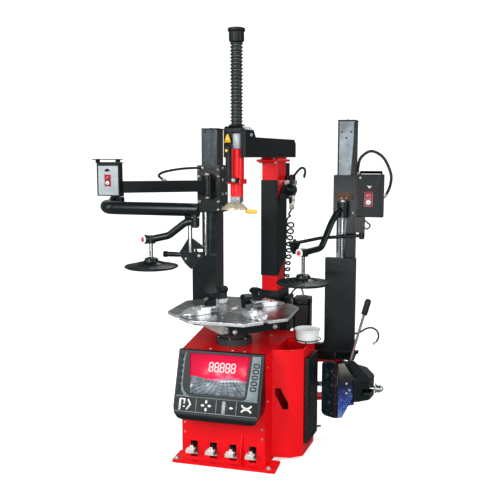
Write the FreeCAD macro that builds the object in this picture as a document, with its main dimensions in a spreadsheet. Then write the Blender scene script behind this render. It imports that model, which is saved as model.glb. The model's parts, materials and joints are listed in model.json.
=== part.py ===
import FreeCAD, Part
import math
import os
import Sketcher
from FreeCAD import Vector, Rotation, Placement

# Tire changer with a tilting post, a sliding arm and two helper masts.
# Millimetres. Origin: on the floor under the turntable axis.
# +X is to the right seen from the front, +Y to the back, +Z up.

doc = FreeCAD.newDocument("tire_changer")
sheet = doc.addObject("Spreadsheet::Sheet", "Dimensions")
sheet.set("A1", "name")
sheet.set("B1", "mm or degrees")
sheet_rows = ["heading"]
nodes = []

X_AXIS = (1, 0, 0)
Y_AXIS = (0, 1, 0)
Z_AXIS = (0, 0, 1)


# ---------------------------------------------------------------- driving dimensions
class Size:
    """A number together with the sheet expression that gives it."""

    def __init__(self, value, text):
        self.value = float(value)
        self.text = text

    def __float__(self):
        return self.value

    def __add__(self, other):
        return join(self, other, "+")

    def __radd__(self, other):
        return join(other, self, "+")

    def __sub__(self, other):
        return join(self, other, "-")

    def __rsub__(self, other):
        return join(other, self, "-")

    def __mul__(self, other):
        return join(self, other, "*")

    def __truediv__(self, other):
        return join(self, other, "/")

    def __neg__(self):
        return join(0, self, "-")


def as_text(number):
    return number.text if isinstance(number, Size) else "(%r)" % round(float(number), 6)


def join(left, right, sign):
    x, y = float(left), float(right)
    if sign == "+":
        value = x + y
    elif sign == "-":
        value = x - y
    elif sign == "*":
        value = x * y
    else:
        value = x / y
    return Size(value, "(%s %s %s)" % (as_text(left), sign, as_text(right)))


def dim(name, value):
    """A driving dimension: one row of the sheet."""
    sheet_rows.append(name)
    row = len(sheet_rows)
    sheet.set("A%d" % row, name)
    sheet.set("B%d" % row, repr(float(value)))
    sheet.setAlias("B%d" % row, name)
    return Size(value, "Dimensions." + name)


def bind(obj, prop, number):
    if isinstance(number, Size):
        obj.setExpression(prop, number.text)


def set_sizes(obj, **sizes):
    for prop, number in sizes.items():
        setattr(obj, prop, float(number))
        bind(obj, prop, number)
    return obj


# ---------------------------------------------------------------- placing
def vector(point):
    return Vector(*[float(c) for c in point])


def toward(axis):
    return Rotation(Vector(0, 0, 1), Vector(*axis))


def turn(degrees):
    return Rotation(Vector(0, 0, 1), float(degrees))


def bearing(run_x, run_y):
    """Angle from +X of a horizontal run, in degrees."""
    return math.degrees(math.atan2(float(run_y), float(run_x)))


def spot(obj, base, axis=Z_AXIS):
    """Put an object at a base point, its own Z along the axis, bound to the sheet."""
    obj.Placement = Placement(vector(base), toward(axis))
    for letter, c in zip("xyz", base):
        bind(obj, ".Placement.Base." + letter, c)
    return obj


# ---------------------------------------------------------------- solids
def box(x0, x1, y0, y1, z0, z1):
    block = doc.addObject("Part::Box", "block")
    set_sizes(block, Length=x1 - x0, Width=y1 - y0, Height=z1 - z0)
    return spot(block, (x0, y0, z0))


def turned_box(x0, x1, y0, y1, z0, z1, degrees, pivot=(0, 0, 0)):
    """Box with corners local to the pivot, turned about the vertical there."""
    block = box(x0, x1, y0, y1, z0, z1)
    for letter in "xyz":
        block.setExpression(".Placement.Base." + letter, None)
    rotation = turn(degrees)
    block.Placement = Placement(vector(pivot) + rotation.multVec(vector((x0, y0, z0))), rotation)
    return block


def cyl(radius, length, base, axis=Z_AXIS):
    round_bar = doc.addObject("Part::Cylinder", "round")
    return spot(set_sizes(round_bar, Radius=radius, Height=length), base, axis)


def cross_bar(radius, half_length, y, z):
    """Cylinder along X, centred on x = 0."""
    return cyl(radius, 2 * half_length, (-half_length, y, z), X_AXIS)


def rod(radius, start, end):
    """Round bar from one point to another."""
    run = vector(end) - vector(start)
    return cyl(radius, run.Length, start, run)


def cone(radius1, radius2, height, base):
    taper = doc.addObject("Part::Cone", "taper")
    return spot(set_sizes(taper, Radius1=radius1, Radius2=radius2, Height=height), base)


def ring(radius, wire_radius, base):
    torus = doc.addObject("Part::Torus", "ring")
    return spot(set_sizes(torus, Radius1=radius, Radius2=wire_radius), base)


def ball(radius, base):
    return spot(set_sizes(doc.addObject("Part::Sphere", "ball"), Radius=radius), base)


def fuse(*objs):
    if len(objs) == 1:
        return objs[0]
    joined = doc.addObject("Part::MultiFuse", "joined")
    joined.Shapes = list(objs)
    joined.Refine = True
    return joined


def cut(base, *tools):
    result = doc.addObject("Part::Cut", "cut")
    result.Base = base
    result.Tool = fuse(*tools)
    return result


def common(*objs):
    shared = doc.addObject("Part::MultiCommon", "shared")
    shared.Shapes = list(objs)
    return shared


def several(*objs):
    group = doc.addObject("Part::Compound", "group")
    group.Links = list(objs)
    return group


def node(name, obj):
    """Register a finished piece under its file name."""
    obj.Label = name
    nodes.append((name, obj))


# ---------------------------------------------------------------- sketched solids
# Sketch points are (x, y) on XY, (x, z) on XZ and (y, z) on YZ.
def rect(x0, x1, y0, y1):
    return [(x0, y0), (x1, y0), (x1, y1), (x0, y1)]


def body(name="form"):
    return doc.addObject("PartDesign::Body", name)


def sketch(host, plane, loops, offset):
    """Closed loops on an origin plane. A loop is a list of points, or
    ("circle", x, y, radius). Every coordinate is a bound constraint."""
    support = next(f for f in host.Origin.OriginFeatures if f.Role == plane + "_Plane")
    profile = host.newObject("Sketcher::SketchObject", "profile")
    profile.AttachmentSupport = [(support, "")]
    profile.MapMode = "FlatFace"
    profile.AttachmentOffset = Placement(Vector(0, 0, float(offset)), Rotation())
    bind(profile, ".AttachmentOffset.Base.z", offset)

    def fix(kind, *args):
        number = args[-1]
        index = profile.addConstraint(Sketcher.Constraint(kind, *args[:-1], float(number)))
        bind(profile, "Constraints[%d]" % index, number)

    for loop in loops:
        if loop[0] == "circle":
            _, x, y, radius = loop
            circle = Part.Circle(vector((x, y, 0)), Vector(0, 0, 1), float(radius))
            edge = profile.addGeometry(circle, False)
            fix("DistanceX", edge, 3, x)
            fix("DistanceY", edge, 3, y)
            fix("Radius", edge, radius)
            continue
        count = len(loop)
        edges = []
        for start, end in zip(loop, loop[1:] + loop[:1]):
            line = Part.LineSegment(vector((*start, 0)), vector((*end, 0)))
            edges.append(profile.addGeometry(line, False))
        for i in range(count):
            profile.addConstraint(
                Sketcher.Constraint("Coincident", edges[i], 2, edges[(i + 1) % count], 1))
        for edge, (x, y) in zip(edges, loop):
            fix("DistanceX", edge, 1, x)
            fix("DistanceY", edge, 1, y)
    return profile


def extrude(kind, host, plane, loops, low, high):
    """Pad or Pocket between two positions on the axis that crosses the plane.
    A pad runs along the plane's normal and a pocket against it; XZ faces -Y."""
    flipped = plane == "XZ"
    start = high if (kind == "Pocket") != flipped else low
    profile = sketch(host, plane, loops, -start if flipped else start)
    feature = host.newObject("PartDesign::" + kind, kind.lower())
    feature.Profile = profile
    set_sizes(feature, Length=high - low)


def pad(host, plane, loops, low, high):
    extrude("Pad", host, plane, loops, low, high)


def pocket(host, plane, loops, low, high):
    extrude("Pocket", host, plane, loops, low, high)


def prism(plane, points, low, high):
    form = body()
    pad(form, plane, [points], low, high)
    return form


def turned(points, x=0, y=0):
    """Turn a (radius, height) profile about the vertical through x, y."""
    form = body()
    profile = sketch(form, "XZ", [points], 0)
    revolution = form.newObject("PartDesign::Revolution", "turned")
    revolution.Profile = profile
    revolution.ReferenceAxis = (profile, ["V_Axis"])
    revolution.Angle = 360.0
    return spot(form, (x, y, 0))


def bent(radius, points, bend, inner=None):
    """A bar, or a tube with an inner radius, along points with rounded bends."""
    corners = [vector(p) for p in points]
    edges = []
    start = corners[0]
    for before, corner, after in zip(corners, corners[1:], corners[2:]):
        back, ahead = (before - corner).normalize(), (after - corner).normalize()
        half_angle = math.acos(max(-1, min(1, back.dot(ahead)))) / 2
        # The bend may take up no more than 0.49 of either leg.
        setback = min(float(bend) / math.tan(half_angle),
                      (before - corner).Length * 0.49, (after - corner).Length * 0.49)
        arc_start, arc_end = corner + back * setback, corner + ahead * setback
        arc_radius = setback * math.tan(half_angle)
        centre = corner + (back + ahead).normalize() * (arc_radius / math.sin(half_angle))
        middle = centre + (corner - centre).normalize() * arc_radius
        if (arc_start - start).Length > 1e-6:
            edges.append(Part.LineSegment(start, arc_start).toShape())
        edges.append(Part.Arc(arc_start, middle, arc_end).toShape())
        start = arc_end
    edges.append(Part.LineSegment(start, corners[-1]).toShape())
    path = Part.Wire(edges)
    tangent = (corners[1] - corners[0]).normalize()

    def solid(section_radius):
        section = Part.Circle(corners[0], tangent, float(section_radius)).toShape()
        shape = path.makePipeShell([Part.Wire([section])], True, False)
        return shape if shape.ShapeType == "Solid" else Part.Solid(shape)

    feature = doc.addObject("Part::Feature", "bent")
    feature.Shape = solid(radius) if inner is None else solid(radius).cut(solid(inner))
    return feature


# ---------------------------------------------------------------- cabinet
cab_top = dim("cabinet_top", 568)
cab_front = dim("cabinet_front", -200)
cab_back = dim("cabinet_back", 310)
front_half = dim("cabinet_front_half_width", 212)
back_half = dim("cabinet_back_half_width", 260)
sheet_thick = dim("cabinet_sheet", 3)
rail_high = dim("floor_rail_height", 16)
anchor_x = dim("anchor_half_spacing", 235)
anchor_front = dim("anchor_front", -222)
anchor_back = dim("anchor_back", 330)
anchor_r = dim("anchor_hole_radius", 7)
pedal_pitch = dim("pedal_pitch", 100)
flange_r = dim("gearbox_flange_radius", 90)
breaker_y = dim("breaker_rod_y", 200)
breaker_z = dim("breaker_rod_z", 320)
hinge_x = dim("breaker_hinge_x", 470)
hinge_y = dim("breaker_hinge_y", 430)
hinge_r = dim("breaker_hinge_pin_radius", 15)


def cabinet_outline(inset):
    return [(-front_half + inset, cab_front + inset), (front_half - inset, cab_front + inset),
            (back_half - inset, cab_back - inset), (-back_half + inset, cab_back - inset)]


def pedal_x(i):
    """Pedals are counted from the left."""
    return pedal_pitch * (i - 1.5)


def anchor_holes(y):
    return [("circle", -anchor_x, y, anchor_r), ("circle", anchor_x, y, anchor_r)]


cab = body("cabinet")
pad(cab, "XY", [cabinet_outline(0)], 5, cab_top)
pocket(cab, "XY", [cabinet_outline(sheet_thick)], 5, cab_top - sheet_thick)
# pedal slots in the front, gearbox opening in the top, rod hole in the right wall
pedal_slots = [rect(pedal_x(i) - 18, pedal_x(i) + 18, 26, 108) for i in range(4)]
pocket(cab, "XZ", pedal_slots, cab_front - 1, cab_front + sheet_thick + 1)
pocket(cab, "XY", [("circle", 0, 0, flange_r + 3)], cab_top - sheet_thick - 1, cab_top + 1)
pocket(cab, "YZ", [("circle", breaker_y, breaker_z, 22)], 200, 290)
# front and back floor rails with anchor holes
back_rail = [(-265, 262), (265, 262), (265, 352), (206, 352),
             (206, 309), (-195, 309), (-195, 352), (-265, 352)]
pad(cab, "XY", [rect(-252, 270, -240, -120)] + anchor_holes(anchor_front), 0, rail_high)
pad(cab, "XY", [back_rail] + anchor_holes(anchor_back), 0, rail_high)
# floor member that joins the two rails under the middle
pad(cab, "XY", [rect(-40, 40, -121, 263)], 0, 25)
# guard fin between the third and fourth pedals
guard_fin = [(cab_front + 1, 14), (cab_front + 1, 170), (-206, 170), (-236, 60), (-236, 14)]
pad(cab, "YZ", [guard_fin], 96, 100)
# two hinge lugs for the bead breaker arm at the rear right corner, and their web
hinge_lug = [(206, 308), (262, 308), (490, 395), (500, 440), (480, 462), (450, 462), (206, 360)]
for lug_z in (176, 392):
    pad(cab, "XY", [hinge_lug, ("circle", hinge_x, hinge_y, hinge_r + 0.05)], lug_z, lug_z + 20)
pad(cab, "XY", [[(206, 309), (262, 309), (300, 326), (300, 340), (206, 340)]], 170, 424)
node("cabinet_frame", cab)

# ---------------------------------------------------------------- console
con_half = dim("console_half_width", 214)
con_back = dim("console_back", -200)


def console_block(inset):
    """Side outline crossed with the front outline, both drawn in by the inset."""
    side = [(con_back, 575 - inset), (-221 + inset * 0.3, 575 - inset), (-324 + inset, 292),
            (-318 + inset, 262 + inset), (-298, 250 + inset), (con_back, 250 + inset)]
    face = [(-con_half + inset, 580), (-con_half + inset, 320), (-con_half + 6 + inset, 292),
            (-con_half + 20 + inset, 268), (-con_half + 46, 250 + inset),
            (con_half - 46, 250 + inset), (con_half - 20 - inset, 268),
            (con_half - 6 - inset, 292), (con_half - inset, 320), (con_half - inset, 580)]
    return common(prism("YZ", side, -con_half, con_half), prism("XZ", face, -330, con_back))


node("console_panel", cut(console_block(0), console_block(4)))

# ---------------------------------------------------------------- tool box on the right side
bucket_x = dim("bucket_x", 366)
bucket_y = dim("bucket_y", 60)
pad_thick = dim("rubber_pad_thickness", 22)
pad_angle = -5.4269
hoop_z = 596
hoop_wire_r = 3

# plan outlines of the box and of its hollow, then the (x, z) opening in its front wall
wall_outer = [(221.92, -95), (310, -85), (368, -44), (387, 156), (245.54, 156)]
wall_inner = [(225.2, -91.8), (309, -82), (365.2, -42.3), (383.7, 153), (248.5, 153)]
front_opening = [(238, 374), (262, 374), (300, 300), (300, 272), (276, 272), (238, 344)]
tool_box = prism("XY", wall_outer, 20, cab_top)
pocket(tool_box, "XY", [wall_inner], 23, cab_top + 1)
pocket(tool_box, "XZ", [front_opening], -100, -78)
hoop = [ring(66, hoop_wire_r, (bucket_x, bucket_y, hoop_z))]
for x, y in ((370.2, -5.7), (382.2, 123.9)):
    hoop.append(rod(hoop_wire_r, (x, y, 540), (x, y, hoop_z)))
node("tool_box", fuse(tool_box, fuse(*hoop)))

node("rubber_pad", turned_box(0, pad_thick, 0, 180, 0, 435, pad_angle, (369.35, -30, 81)))

bucket_profile = [(0, 584), (54, 584), (60, 640), (64, 640), (64, 646), (58, 646),
                  (52, 587), (0, 587)]
node("grease_bucket", turned(bucket_profile, bucket_x, bucket_y))

# ---------------------------------------------------------------- drive inside the cabinet
shaft_r = dim("table_shaft_radius", 30)
motor_base = (0, 119, 480)
gear = fuse(box(-110, 110, -120, 120, 420, 565), cyl(flange_r, 35, (0, 0, 565)),
            cyl(62, 175, motor_base, Y_AXIS), cyl(76, 18, motor_base, Y_AXIS),
            box(-30, 30, 150, 230, 540, 562))
node("gear_motor", cut(gear, cyl(shaft_r + 0.08, 220, (0, 0, 400))))

# valve block, which carries the pedal shaft between two cheeks
pedal_axis_y = dim("pedal_axis_y", -60)
pedal_axis_z = dim("pedal_axis_z", 92)
pedal_shaft_r = dim("pedal_shaft_radius", 7)
valves = fuse(box(-190, 190, -170, 60, 25, 31), box(-190, 190, -20, 60, 31, 140),
              box(-203, -195, -85, 20, 31, 118), box(195, 203, -85, 20, 31, 118),
              box(-203, -189, -85, 20, 25, 31), box(189, 203, -85, 20, 25, 31),
              box(-203, 203, -20, 20, 31, 60))
node("valve_block", cut(valves, cross_bar(pedal_shaft_r + 0.05, 210, pedal_axis_y, pedal_axis_z)))

# bead breaker cylinder with a flat tail to the left
breaker_cyl_r = dim("breaker_cylinder_radius", 90)
cylinder_tail = box(-243, -109, breaker_y - 10, breaker_y + 10, breaker_z - 22, breaker_z + 22)
node("breaker_cylinder",
     cut(fuse(cyl(breaker_cyl_r, 340, (-110, breaker_y, breaker_z), X_AXIS), cylinder_tail),
         cyl(breaker_cyl_r - 5, 326, (-104, breaker_y, breaker_z), X_AXIS),
         cyl(14, 30, (215, breaker_y, breaker_z), X_AXIS)))


# ---------------------------------------------------------------- pedals
def pedal(x):
    hub = cyl(16, 26, (x - 13, pedal_axis_y, pedal_axis_z), X_AXIS)
    lever = box(x - 8, x + 8, -236, pedal_axis_y, pedal_axis_z - 8, pedal_axis_z + 8)
    tread = box(x - 21, x + 21, -268, -234, 82, 88)
    lip = box(x - 21, x + 21, -268, -263, 70, 88)
    rib = box(x - 8, x + 8, -240, -234, 82, 100)
    bore = cyl(pedal_shaft_r + 0.08, 40, (x - 20, pedal_axis_y, pedal_axis_z), X_AXIS)
    return cut(fuse(hub, lever, tread, lip, rib), bore)


for i, job in enumerate(("tilt", "clamp", "breaker", "turn")):
    node("pedal_" + job, pedal(pedal_x(i)))

# ---------------------------------------------------------------- turntable
table_half = dim("table_half_width", 306)
table_corner = dim("table_corner", 136)
table_low = dim("table_underside", 725)
table_thick = dim("table_thickness", 15)
slot_width = dim("table_slot_width", 30)
table_top = table_low + table_thick
slot_start = 98  # distance of the slots' round inner ends from the axis

hub_profile = [(0, 330), (38, 330), (38, 398), (shaft_r, 398), (shaft_r, 602), (72, 602),
               (72, 630), (58, 640), (58, 702), (86, 711), (86, 725), (0, 725)]
node("turntable_hub", turned(hub_profile))

octagon = [(table_half, -table_corner), (table_half, table_corner),
           (table_corner, table_half), (-table_corner, table_half),
           (-table_half, table_corner), (-table_half, -table_corner),
           (-table_corner, -table_half), (table_corner, -table_half)]
plate = prism("XY", octagon, table_low, table_top)
slots = []
for degrees in (45, 135, 225, 315):
    slots.append(turned_box(slot_start, 340, -slot_width / 2, slot_width / 2,
                            table_low - 1, table_top + 1, degrees))
    inner_end = (slot_start * math.cos(math.radians(degrees)),
                 slot_start * math.sin(math.radians(degrees)), table_low - 1)
    slots.append(cyl(slot_width / 2, table_thick + 2, inner_end))
node("turntable_plate", cut(plate, cyl(24, 20, (0, 0, table_low - 2)), *slots))

# ---------------------------------------------------------------- clamping jaws
# Drawn pointing along +X, then turned to their slots. Plans are (x, y), the hook (x, z).
jaw_plan = [(146, -34), (152, -40), (222, -47), (236, -30),
            (236, 30), (222, 47), (152, 40), (146, 34)]
jaw_step = [(112, -26), (196, -26), (208, -10), (208, 10), (196, 26), (112, 26)]
jaw_hook = [(158, 771), (152, 792), (132, 806), (132, 816), (148, 826), (146, 836),
            (116, 838), (100, 828), (100, 816), (112, 806), (112, 771)]


def jaw(degrees):
    form = body("jaw")
    pad(form, "XY", [rect(122, 240, -44, 44)], 712, 724.5)
    pad(form, "XY", [rect(148, 235, -13.5, 13.5)], 724, 741)
    pad(form, "XY", [jaw_plan], 740.5, 762)
    pad(form, "XY", [jaw_step], 761.5, 772)
    pad(form, "XZ", [jaw_hook], -21, 21)
    form.Placement = Placement(Vector(0, 0, 0), turn(degrees))
    return form


for corner, degrees in (("back_right", 45), ("back_left", 135),
                        ("front_left", 225), ("front_right", 315)):
    node("jaw_" + corner, jaw(degrees))

# ---------------------------------------------------------------- clamp cylinders under the table
# Two side by side, drawn along X and turned from the back left to the front right.
piston_r = dim("clamp_piston_radius", 25)
barrel_half = dim("clamp_barrel_half", 28)
clamp_angle = -45
clamp_offset = 112
clamp_z = 680
clamp_rod_r = 10
clamp_sides = (-clamp_offset, clamp_offset)


def clamp_cyl(radius, length, x, y):
    diagonal = turn(clamp_angle)
    return cyl(radius, length, diagonal.multVec(Vector(x, y, clamp_z)),
               diagonal.multVec(Vector(1, 0, 0)))


def clamp_yoke(x0, x1):
    return [turned_box(x0, x1, -140, 140, 662, 704, clamp_angle),
            turned_box(x0, x1, -40, 40, 704, 712, clamp_angle)]


barrels = [turned_box(-197, 125, y - barrel_half, y + barrel_half, 652, 708, clamp_angle)
           for y in clamp_sides]
bores = []
for y in clamp_sides:
    bores += [clamp_cyl(piston_r + 0.5, 305, -190, y), clamp_cyl(clamp_rod_r + 0.5, 330, -190, y)]
node("clamp_cylinders", cut(fuse(*barrels, *clamp_yoke(-213, -197)), *bores))

clamp_rods = clamp_yoke(197, 213)
for y in clamp_sides:
    clamp_rods += [clamp_cyl(clamp_rod_r, 308, -110, y), clamp_cyl(piston_r, 16, -110, y)]
node("clamp_rods", fuse(*clamp_rods))

# ---------------------------------------------------------------- post, in its own turned frame
post_turn = dim("post_turn", -8)
post_x = dim("post_x", 112)
post_y = dim("post_y", 400)
tilt_y = dim("tilt_axis_y", 55)
tilt_z = dim("tilt_axis_z", 700)
tilt_pin_r = dim("tilt_pin_radius", 14)
stand_half = dim("stand_half_width", 80)
post_half = dim("post_half_width", 45)
post_deep = dim("post_half_depth", 65)
post_top = dim("post_top", 1476)
beam_z = dim("arm_height", 1560)
end_pin_r = dim("tilt_cylinder_pin_radius", 8)
# pins at the two ends of the tilt cylinder
lower_pin = Vector(0, 155, 280)
upper_pin = Vector(0, 135, 632)


def in_post_frame(obj):
    obj.Placement = Placement(vector((post_x, post_y, 0)), turn(post_turn))
    bind(obj, ".Placement.Base.x", post_x)
    bind(obj, ".Placement.Base.y", post_y)
    return obj


def post_node(name, obj):
    node(name, in_post_frame(obj))


# stand: hollow column on a floor plate, with cheeks for the tilt pin and lugs behind
stand = cut(fuse(box(-stand_half, stand_half, -72, 62, 12, 600), box(-112, 92, -62, 110, 0, 12),
                 box(62, 82, -20, 104, 540, 738), box(-82, -62, -20, 104, 540, 738),
                 box(-10, 10, 60, 175, 12, 60), box(14, 26, 60, 178, 200, 300),
                 box(-26, -14, 60, 178, 200, 300)),
            box(-stand_half + 5, stand_half - 5, -67, 57, 12, 595),
            cross_bar(tilt_pin_r + 0.05, 100, tilt_y, tilt_z),
            cross_bar(end_pin_r + 0.05, 40, lower_pin.y, lower_pin.z))
# The block that ties the stand to the cabinet lies in the machine's frame.
node("column_stand", fuse(in_post_frame(stand), box(24, 200, 310, 330, 60, 540)))

foot = cut(fuse(box(-60, 60, -68, 85, 655, 779), box(-12, 12, 60, 150, 655, 720),
                box(-12, 12, 112, 150, 612, 660),
                cross_bar(end_pin_r, 28, upper_pin.y, upper_pin.z)),
           cross_bar(tilt_pin_r + 0.08, 80, tilt_y, tilt_z))
post_node("post_foot", foot)

# tube with a head plate and a block bored for the sliding arm
tube = cut(fuse(box(-post_half, post_half, -post_deep, post_deep, 779, post_top),
                box(-60, 60, -110, 90, post_top, post_top + 14),
                box(-48, 48, -68, 66, post_top + 14, beam_z + 32)),
           box(-post_half + 5, post_half - 5, -post_deep + 5, post_deep - 5, 784, post_top - 2),
           box(-26, 26, -80, 80, beam_z - 26, beam_z + 26))
post_node("post_tube", tube)

# front, right and back covers
right_cover = [(-60, 865), (65, 955), (65, 1405), (-60, 1283)]
post_node("post_covers", several(box(-48, 48, -71, -65, 862, 1380),
                                 prism("YZ", right_cover, 45, 51),
                                 box(-46, 46, 65, 125, 1395, 1470)))

# ---------------------------------------------------------------- tilt cylinder behind the post
lean = upper_pin - lower_pin


def lean_cyl(radius, length, distance):
    """Cylinder on the line between the pins, starting this far above the lower one."""
    return cyl(radius, length, lower_pin + toward(lean).multVec(Vector(0, 0, distance)), lean)


tilt_barrel = cut(fuse(lean_cyl(32, 250, 30), box(-13, 13, 135, 175, 262, 316)),
                  lean_cyl(28.5, 236, 37), lean_cyl(9.4, 60, 240),
                  cross_bar(end_pin_r + 0.08, 30, lower_pin.y, lower_pin.z))
post_node("tilt_cylinder", tilt_barrel)
tilt_rod = fuse(lean_cyl(9, 150, 164), lean_cyl(28, 14, 164), box(-24, 24, 122, 152, 592, 600),
                box(14.5, 24, 122, 150, 592, 646), box(-24, -14.5, 122, 150, 592, 646))
post_node("tilt_rod", cut(tilt_rod, cross_bar(12, 30, upper_pin.y, upper_pin.z)))

# ---------------------------------------------------------------- sliding arm
shaft_y = dim("shaft_axis_y", -497)
shaft_half = dim("shaft_half_width", 17)


def shaft_block(half, z0, z1):
    """Square block centred on the tool shaft."""
    return box(-half, half, shaft_y - half, shaft_y + half, z0, z1)


arm = cut(fuse(box(-25, 25, -442, 170, beam_z - 25, beam_z + 25),
               box(-50, 50, -526, -440, 1545, 1622), box(-36, 36, -526, -440, 1622, 1642)),
          box(-20, 20, -430, 190, beam_z - 20, beam_z + 20),
          shaft_block(shaft_half + 1.5, 1500, 1700))
post_node("arm_beam", arm)


def cover_form(inset, low):
    """Side, plan and front outlines crossed, all drawn in by the inset."""
    slight = inset * 0.4
    side = [(-540 + inset, low), (190 - inset, low), (190 - inset, 1575 - slight),
            (165 - slight, 1598 - inset), (-396 + slight, 1598 - inset),
            (-437 + inset * 0.2, 1647 - inset), (-530 + inset * 0.6, 1647 - inset),
            (-540 + inset, 1637 - inset * 0.6)]
    plan = [(-58 + inset, 200 - inset), (-58 + inset, -522), (-42 + inset * 0.5, -540 + inset),
            (42 - inset * 0.5, -540 + inset), (58 - inset, -522), (58 - inset, 200 - inset)]
    front = [(-58 + inset, 1480), (-58 + inset, 1630 - slight), (-41 + slight, 1650 - inset),
             (41 - slight, 1650 - inset), (58 - inset, 1630 - slight), (58 - inset, 1480)]
    return common(prism("YZ", side, -58, 58), prism("XY", plan, 1490, 1660),
                  prism("XZ", front, -545, 205))


post_node("arm_cover", cut(cover_form(0, 1500), cover_form(3, 1490),
                           cyl(29, 40, (0, shaft_y, 1630)), box(-38, 38, -545, -528, 1495, 1618)))
post_node("shaft_bellows", cut(cyl(30, 386, (0, shaft_y, 1647)), cyl(24.8, 390, (0, shaft_y, 1645))))

# ---------------------------------------------------------------- tool shaft
post_node("tool_shaft", cut(shaft_block(shaft_half, 1286, 2085), cross_bar(4, 30, shaft_y, 2060)))

cap_profile = [(0, 2037), (34, 2037), (35.5, 2080), (41.5, 2087), (41.5, 2097), (38, 2100),
               (0, 2100)]
post_node("shaft_cap", cut(turned(cap_profile, 0, shaft_y), shaft_block(shaft_half, 2030, 2085)))

sleeve = fuse(cyl(35, 142, (0, shaft_y, 1398)), shaft_block(36, 1374, 1398),
              cyl(31, 59, (0, shaft_y, 1315)))
post_node("shaft_sleeve", cut(sleeve, shaft_block(shaft_half, 1300, 1550)))

clamp = fuse(shaft_block(24, 1286, 1315), cyl(5, 8, (-10, shaft_y - 31, 1300), Y_AXIS),
             cyl(5, 8, (12, shaft_y - 31, 1300), Y_AXIS))
post_node("head_clamp", cut(clamp, shaft_block(shaft_half, 1280, 1320)))

# plan outlines of the mount head's foot and of the neck above it
head_foot = [(-78, -520), (-60, -532), (-20, -528), (18, -524), (40, -512), (55, -495),
             (52, -474), (36, -462), (8, -458), (-20, -470), (-48, -496), (-80, -512)]
head_neck = [(-30, -524), (20, -522), (38, -508), (40, -480), (22, -466), (-14, -472),
             (-32, -500)]
mount_head = body("mount_head")
pad(mount_head, "XY", [head_foot], 1250, 1264)
pad(mount_head, "XY", [head_neck], 1263, 1286)
post_node("mount_head", mount_head)

# upright handle in front of the shaft, with the lock button near its top
handle_x = -12
handle_y = -566
button_z = 1532
handle = fuse(cyl(14.5, 148, (handle_x, handle_y, 1400)), box(-25, 28, -578, -533, 1383, 1404),
              cyl(13.2, 20, (handle_x, -588, button_z), Y_AXIS),
              ball(14.5, (handle_x, handle_y, 1548)))
post_node("shaft_handle", cut(handle, cyl(7.4, 12, (handle_x, -589, button_z), Y_AXIS)))
post_node("lock_button", fuse(cyl(7, 8, (handle_x, -590, button_z), Y_AXIS),
                              cyl(5.8, 4, (handle_x, -593, button_z), Y_AXIS)))

# ---------------------------------------------------------------- inflator on the post
gun_x = dim("inflator_x", 118)
gun_y = dim("inflator_y", -40)
gun = fuse(rod(15, (gun_x, gun_y, 1250), (gun_x, gun_y, 1385)),
           cyl(33, 26, (gun_x, -75, 1330), Y_AXIS),
           box(51, gun_x, gun_y - 6, gun_y + 6, 1280, 1310),
           rod(11, (gun_x, gun_y, 1385), (gun_x, gun_y, 1410)))
post_node("inflator_gun", cut(gun, box(110, 126, -60, -48, 1255, 1300)))
post_node("inflator_trigger", fuse(box(112, 124, -72, -56, 1258, 1292),
                                   box(114, 122, -75, -71, 1262, 1288)))

# ---------------------------------------------------------------- air tank
tank_plan = [(238, 374), (310, 374), (320, 384), (320, 456),
             (310, 466), (238, 466), (228, 456), (228, 384)]
node("air_tank", fuse(prism("XY", tank_plan, 527, 736), cyl(30, 12, (274, 420, 730)),
                      box(230, 318, 372, 468, 515, 529), box(206, 240, 345, 400, 500, 529)))

# ---------------------------------------------------------------- helper masts
mast_top_left = dim("left_mast_top", 1650)
mast_top_right = dim("right_mast_top", 1685)
lift_rod_r = dim("lift_rod_radius", 10)
left_lift_x = dim("left_lift_x", -250)
left_lift_y = dim("left_lift_y", 305)
right_lift_x = dim("right_lift_x", 501)
right_lift_y = dim("right_lift_y", 302)


def mast_tube(x0, x1, y0, y1, low, top):
    """Square tube, open at the top and closed at the foot."""
    return cut(box(x0, x1, y0, y1, low, top),
               box(x0 + 6, x1 - 6, y0 + 6, y1 - 6, low + 6, top + 1))


left_mast = fuse(mast_tube(-275, -185, 320, 430, 480, mast_top_left),
                 box(-285, -175, 320, 440, 468, 480), box(-262, -110, 310, 320, 280, 560),
                 box(-236, -224, 320, 420, 300, 468))
right_mast = fuse(mast_tube(468, 558, 320, 440, 433, mast_top_right),
                  box(440, 574, 312, 452, 424, 433), box(206, 468, 330, 372, 433, 500),
                  box(206, 262, 310, 330, 424, 520), box(301, 470, 336, 342, 412, 433))
node("helper_masts", several(left_mast, right_mast))

left_lift = cut(box(-322, -184, 282, 320, 570, 967),
                cyl(lift_rod_r + 0.6, 400, (left_lift_x, left_lift_y, 575)))
right_lift = cut(fuse(box(416, 576, 282, 320, 482, 978), box(392, 598, 280, 320, 472, 482.5),
                      prism("XZ", [(392, 482), (417, 482), (417, 540)], 286, 316)),
                 cyl(lift_rod_r + 0.6, 500, (right_lift_x, right_lift_y, 487)))
node("lift_cylinders", several(left_lift, right_lift))

# ---------------------------------------------------------------- left helper
left_pivot_x = dim("left_pivot_x", -225)
left_pivot_y = dim("left_pivot_y", 262)
elbow_x = dim("left_elbow_x", -630)
elbow_y = dim("left_elbow_y", 0)
hinge_pin = dim("helper_pin_radius", 12)
arm_r = dim("left_tube_radius", 31)
joint_x = dim("left_joint_x", -104)
joint_y = dim("left_joint_y", -284)
tool_x = dim("left_tool_x", -159)
tool_y = dim("left_tool_y", -225)
left_disc_x = dim("left_disc_x", -318)
left_disc_y = dim("left_disc_y", -300)
spindle_r = 9  # upright spindles of the discs and the tool


def hinge_eye(x, y, radius, z0, z1):
    """Round eye on the pivot and the block that joins it to the carriage."""
    return [box(x - radius, x + radius, y, 302, z0, z1), cyl(radius, z1 - z0, (x, y, z0))]


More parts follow.
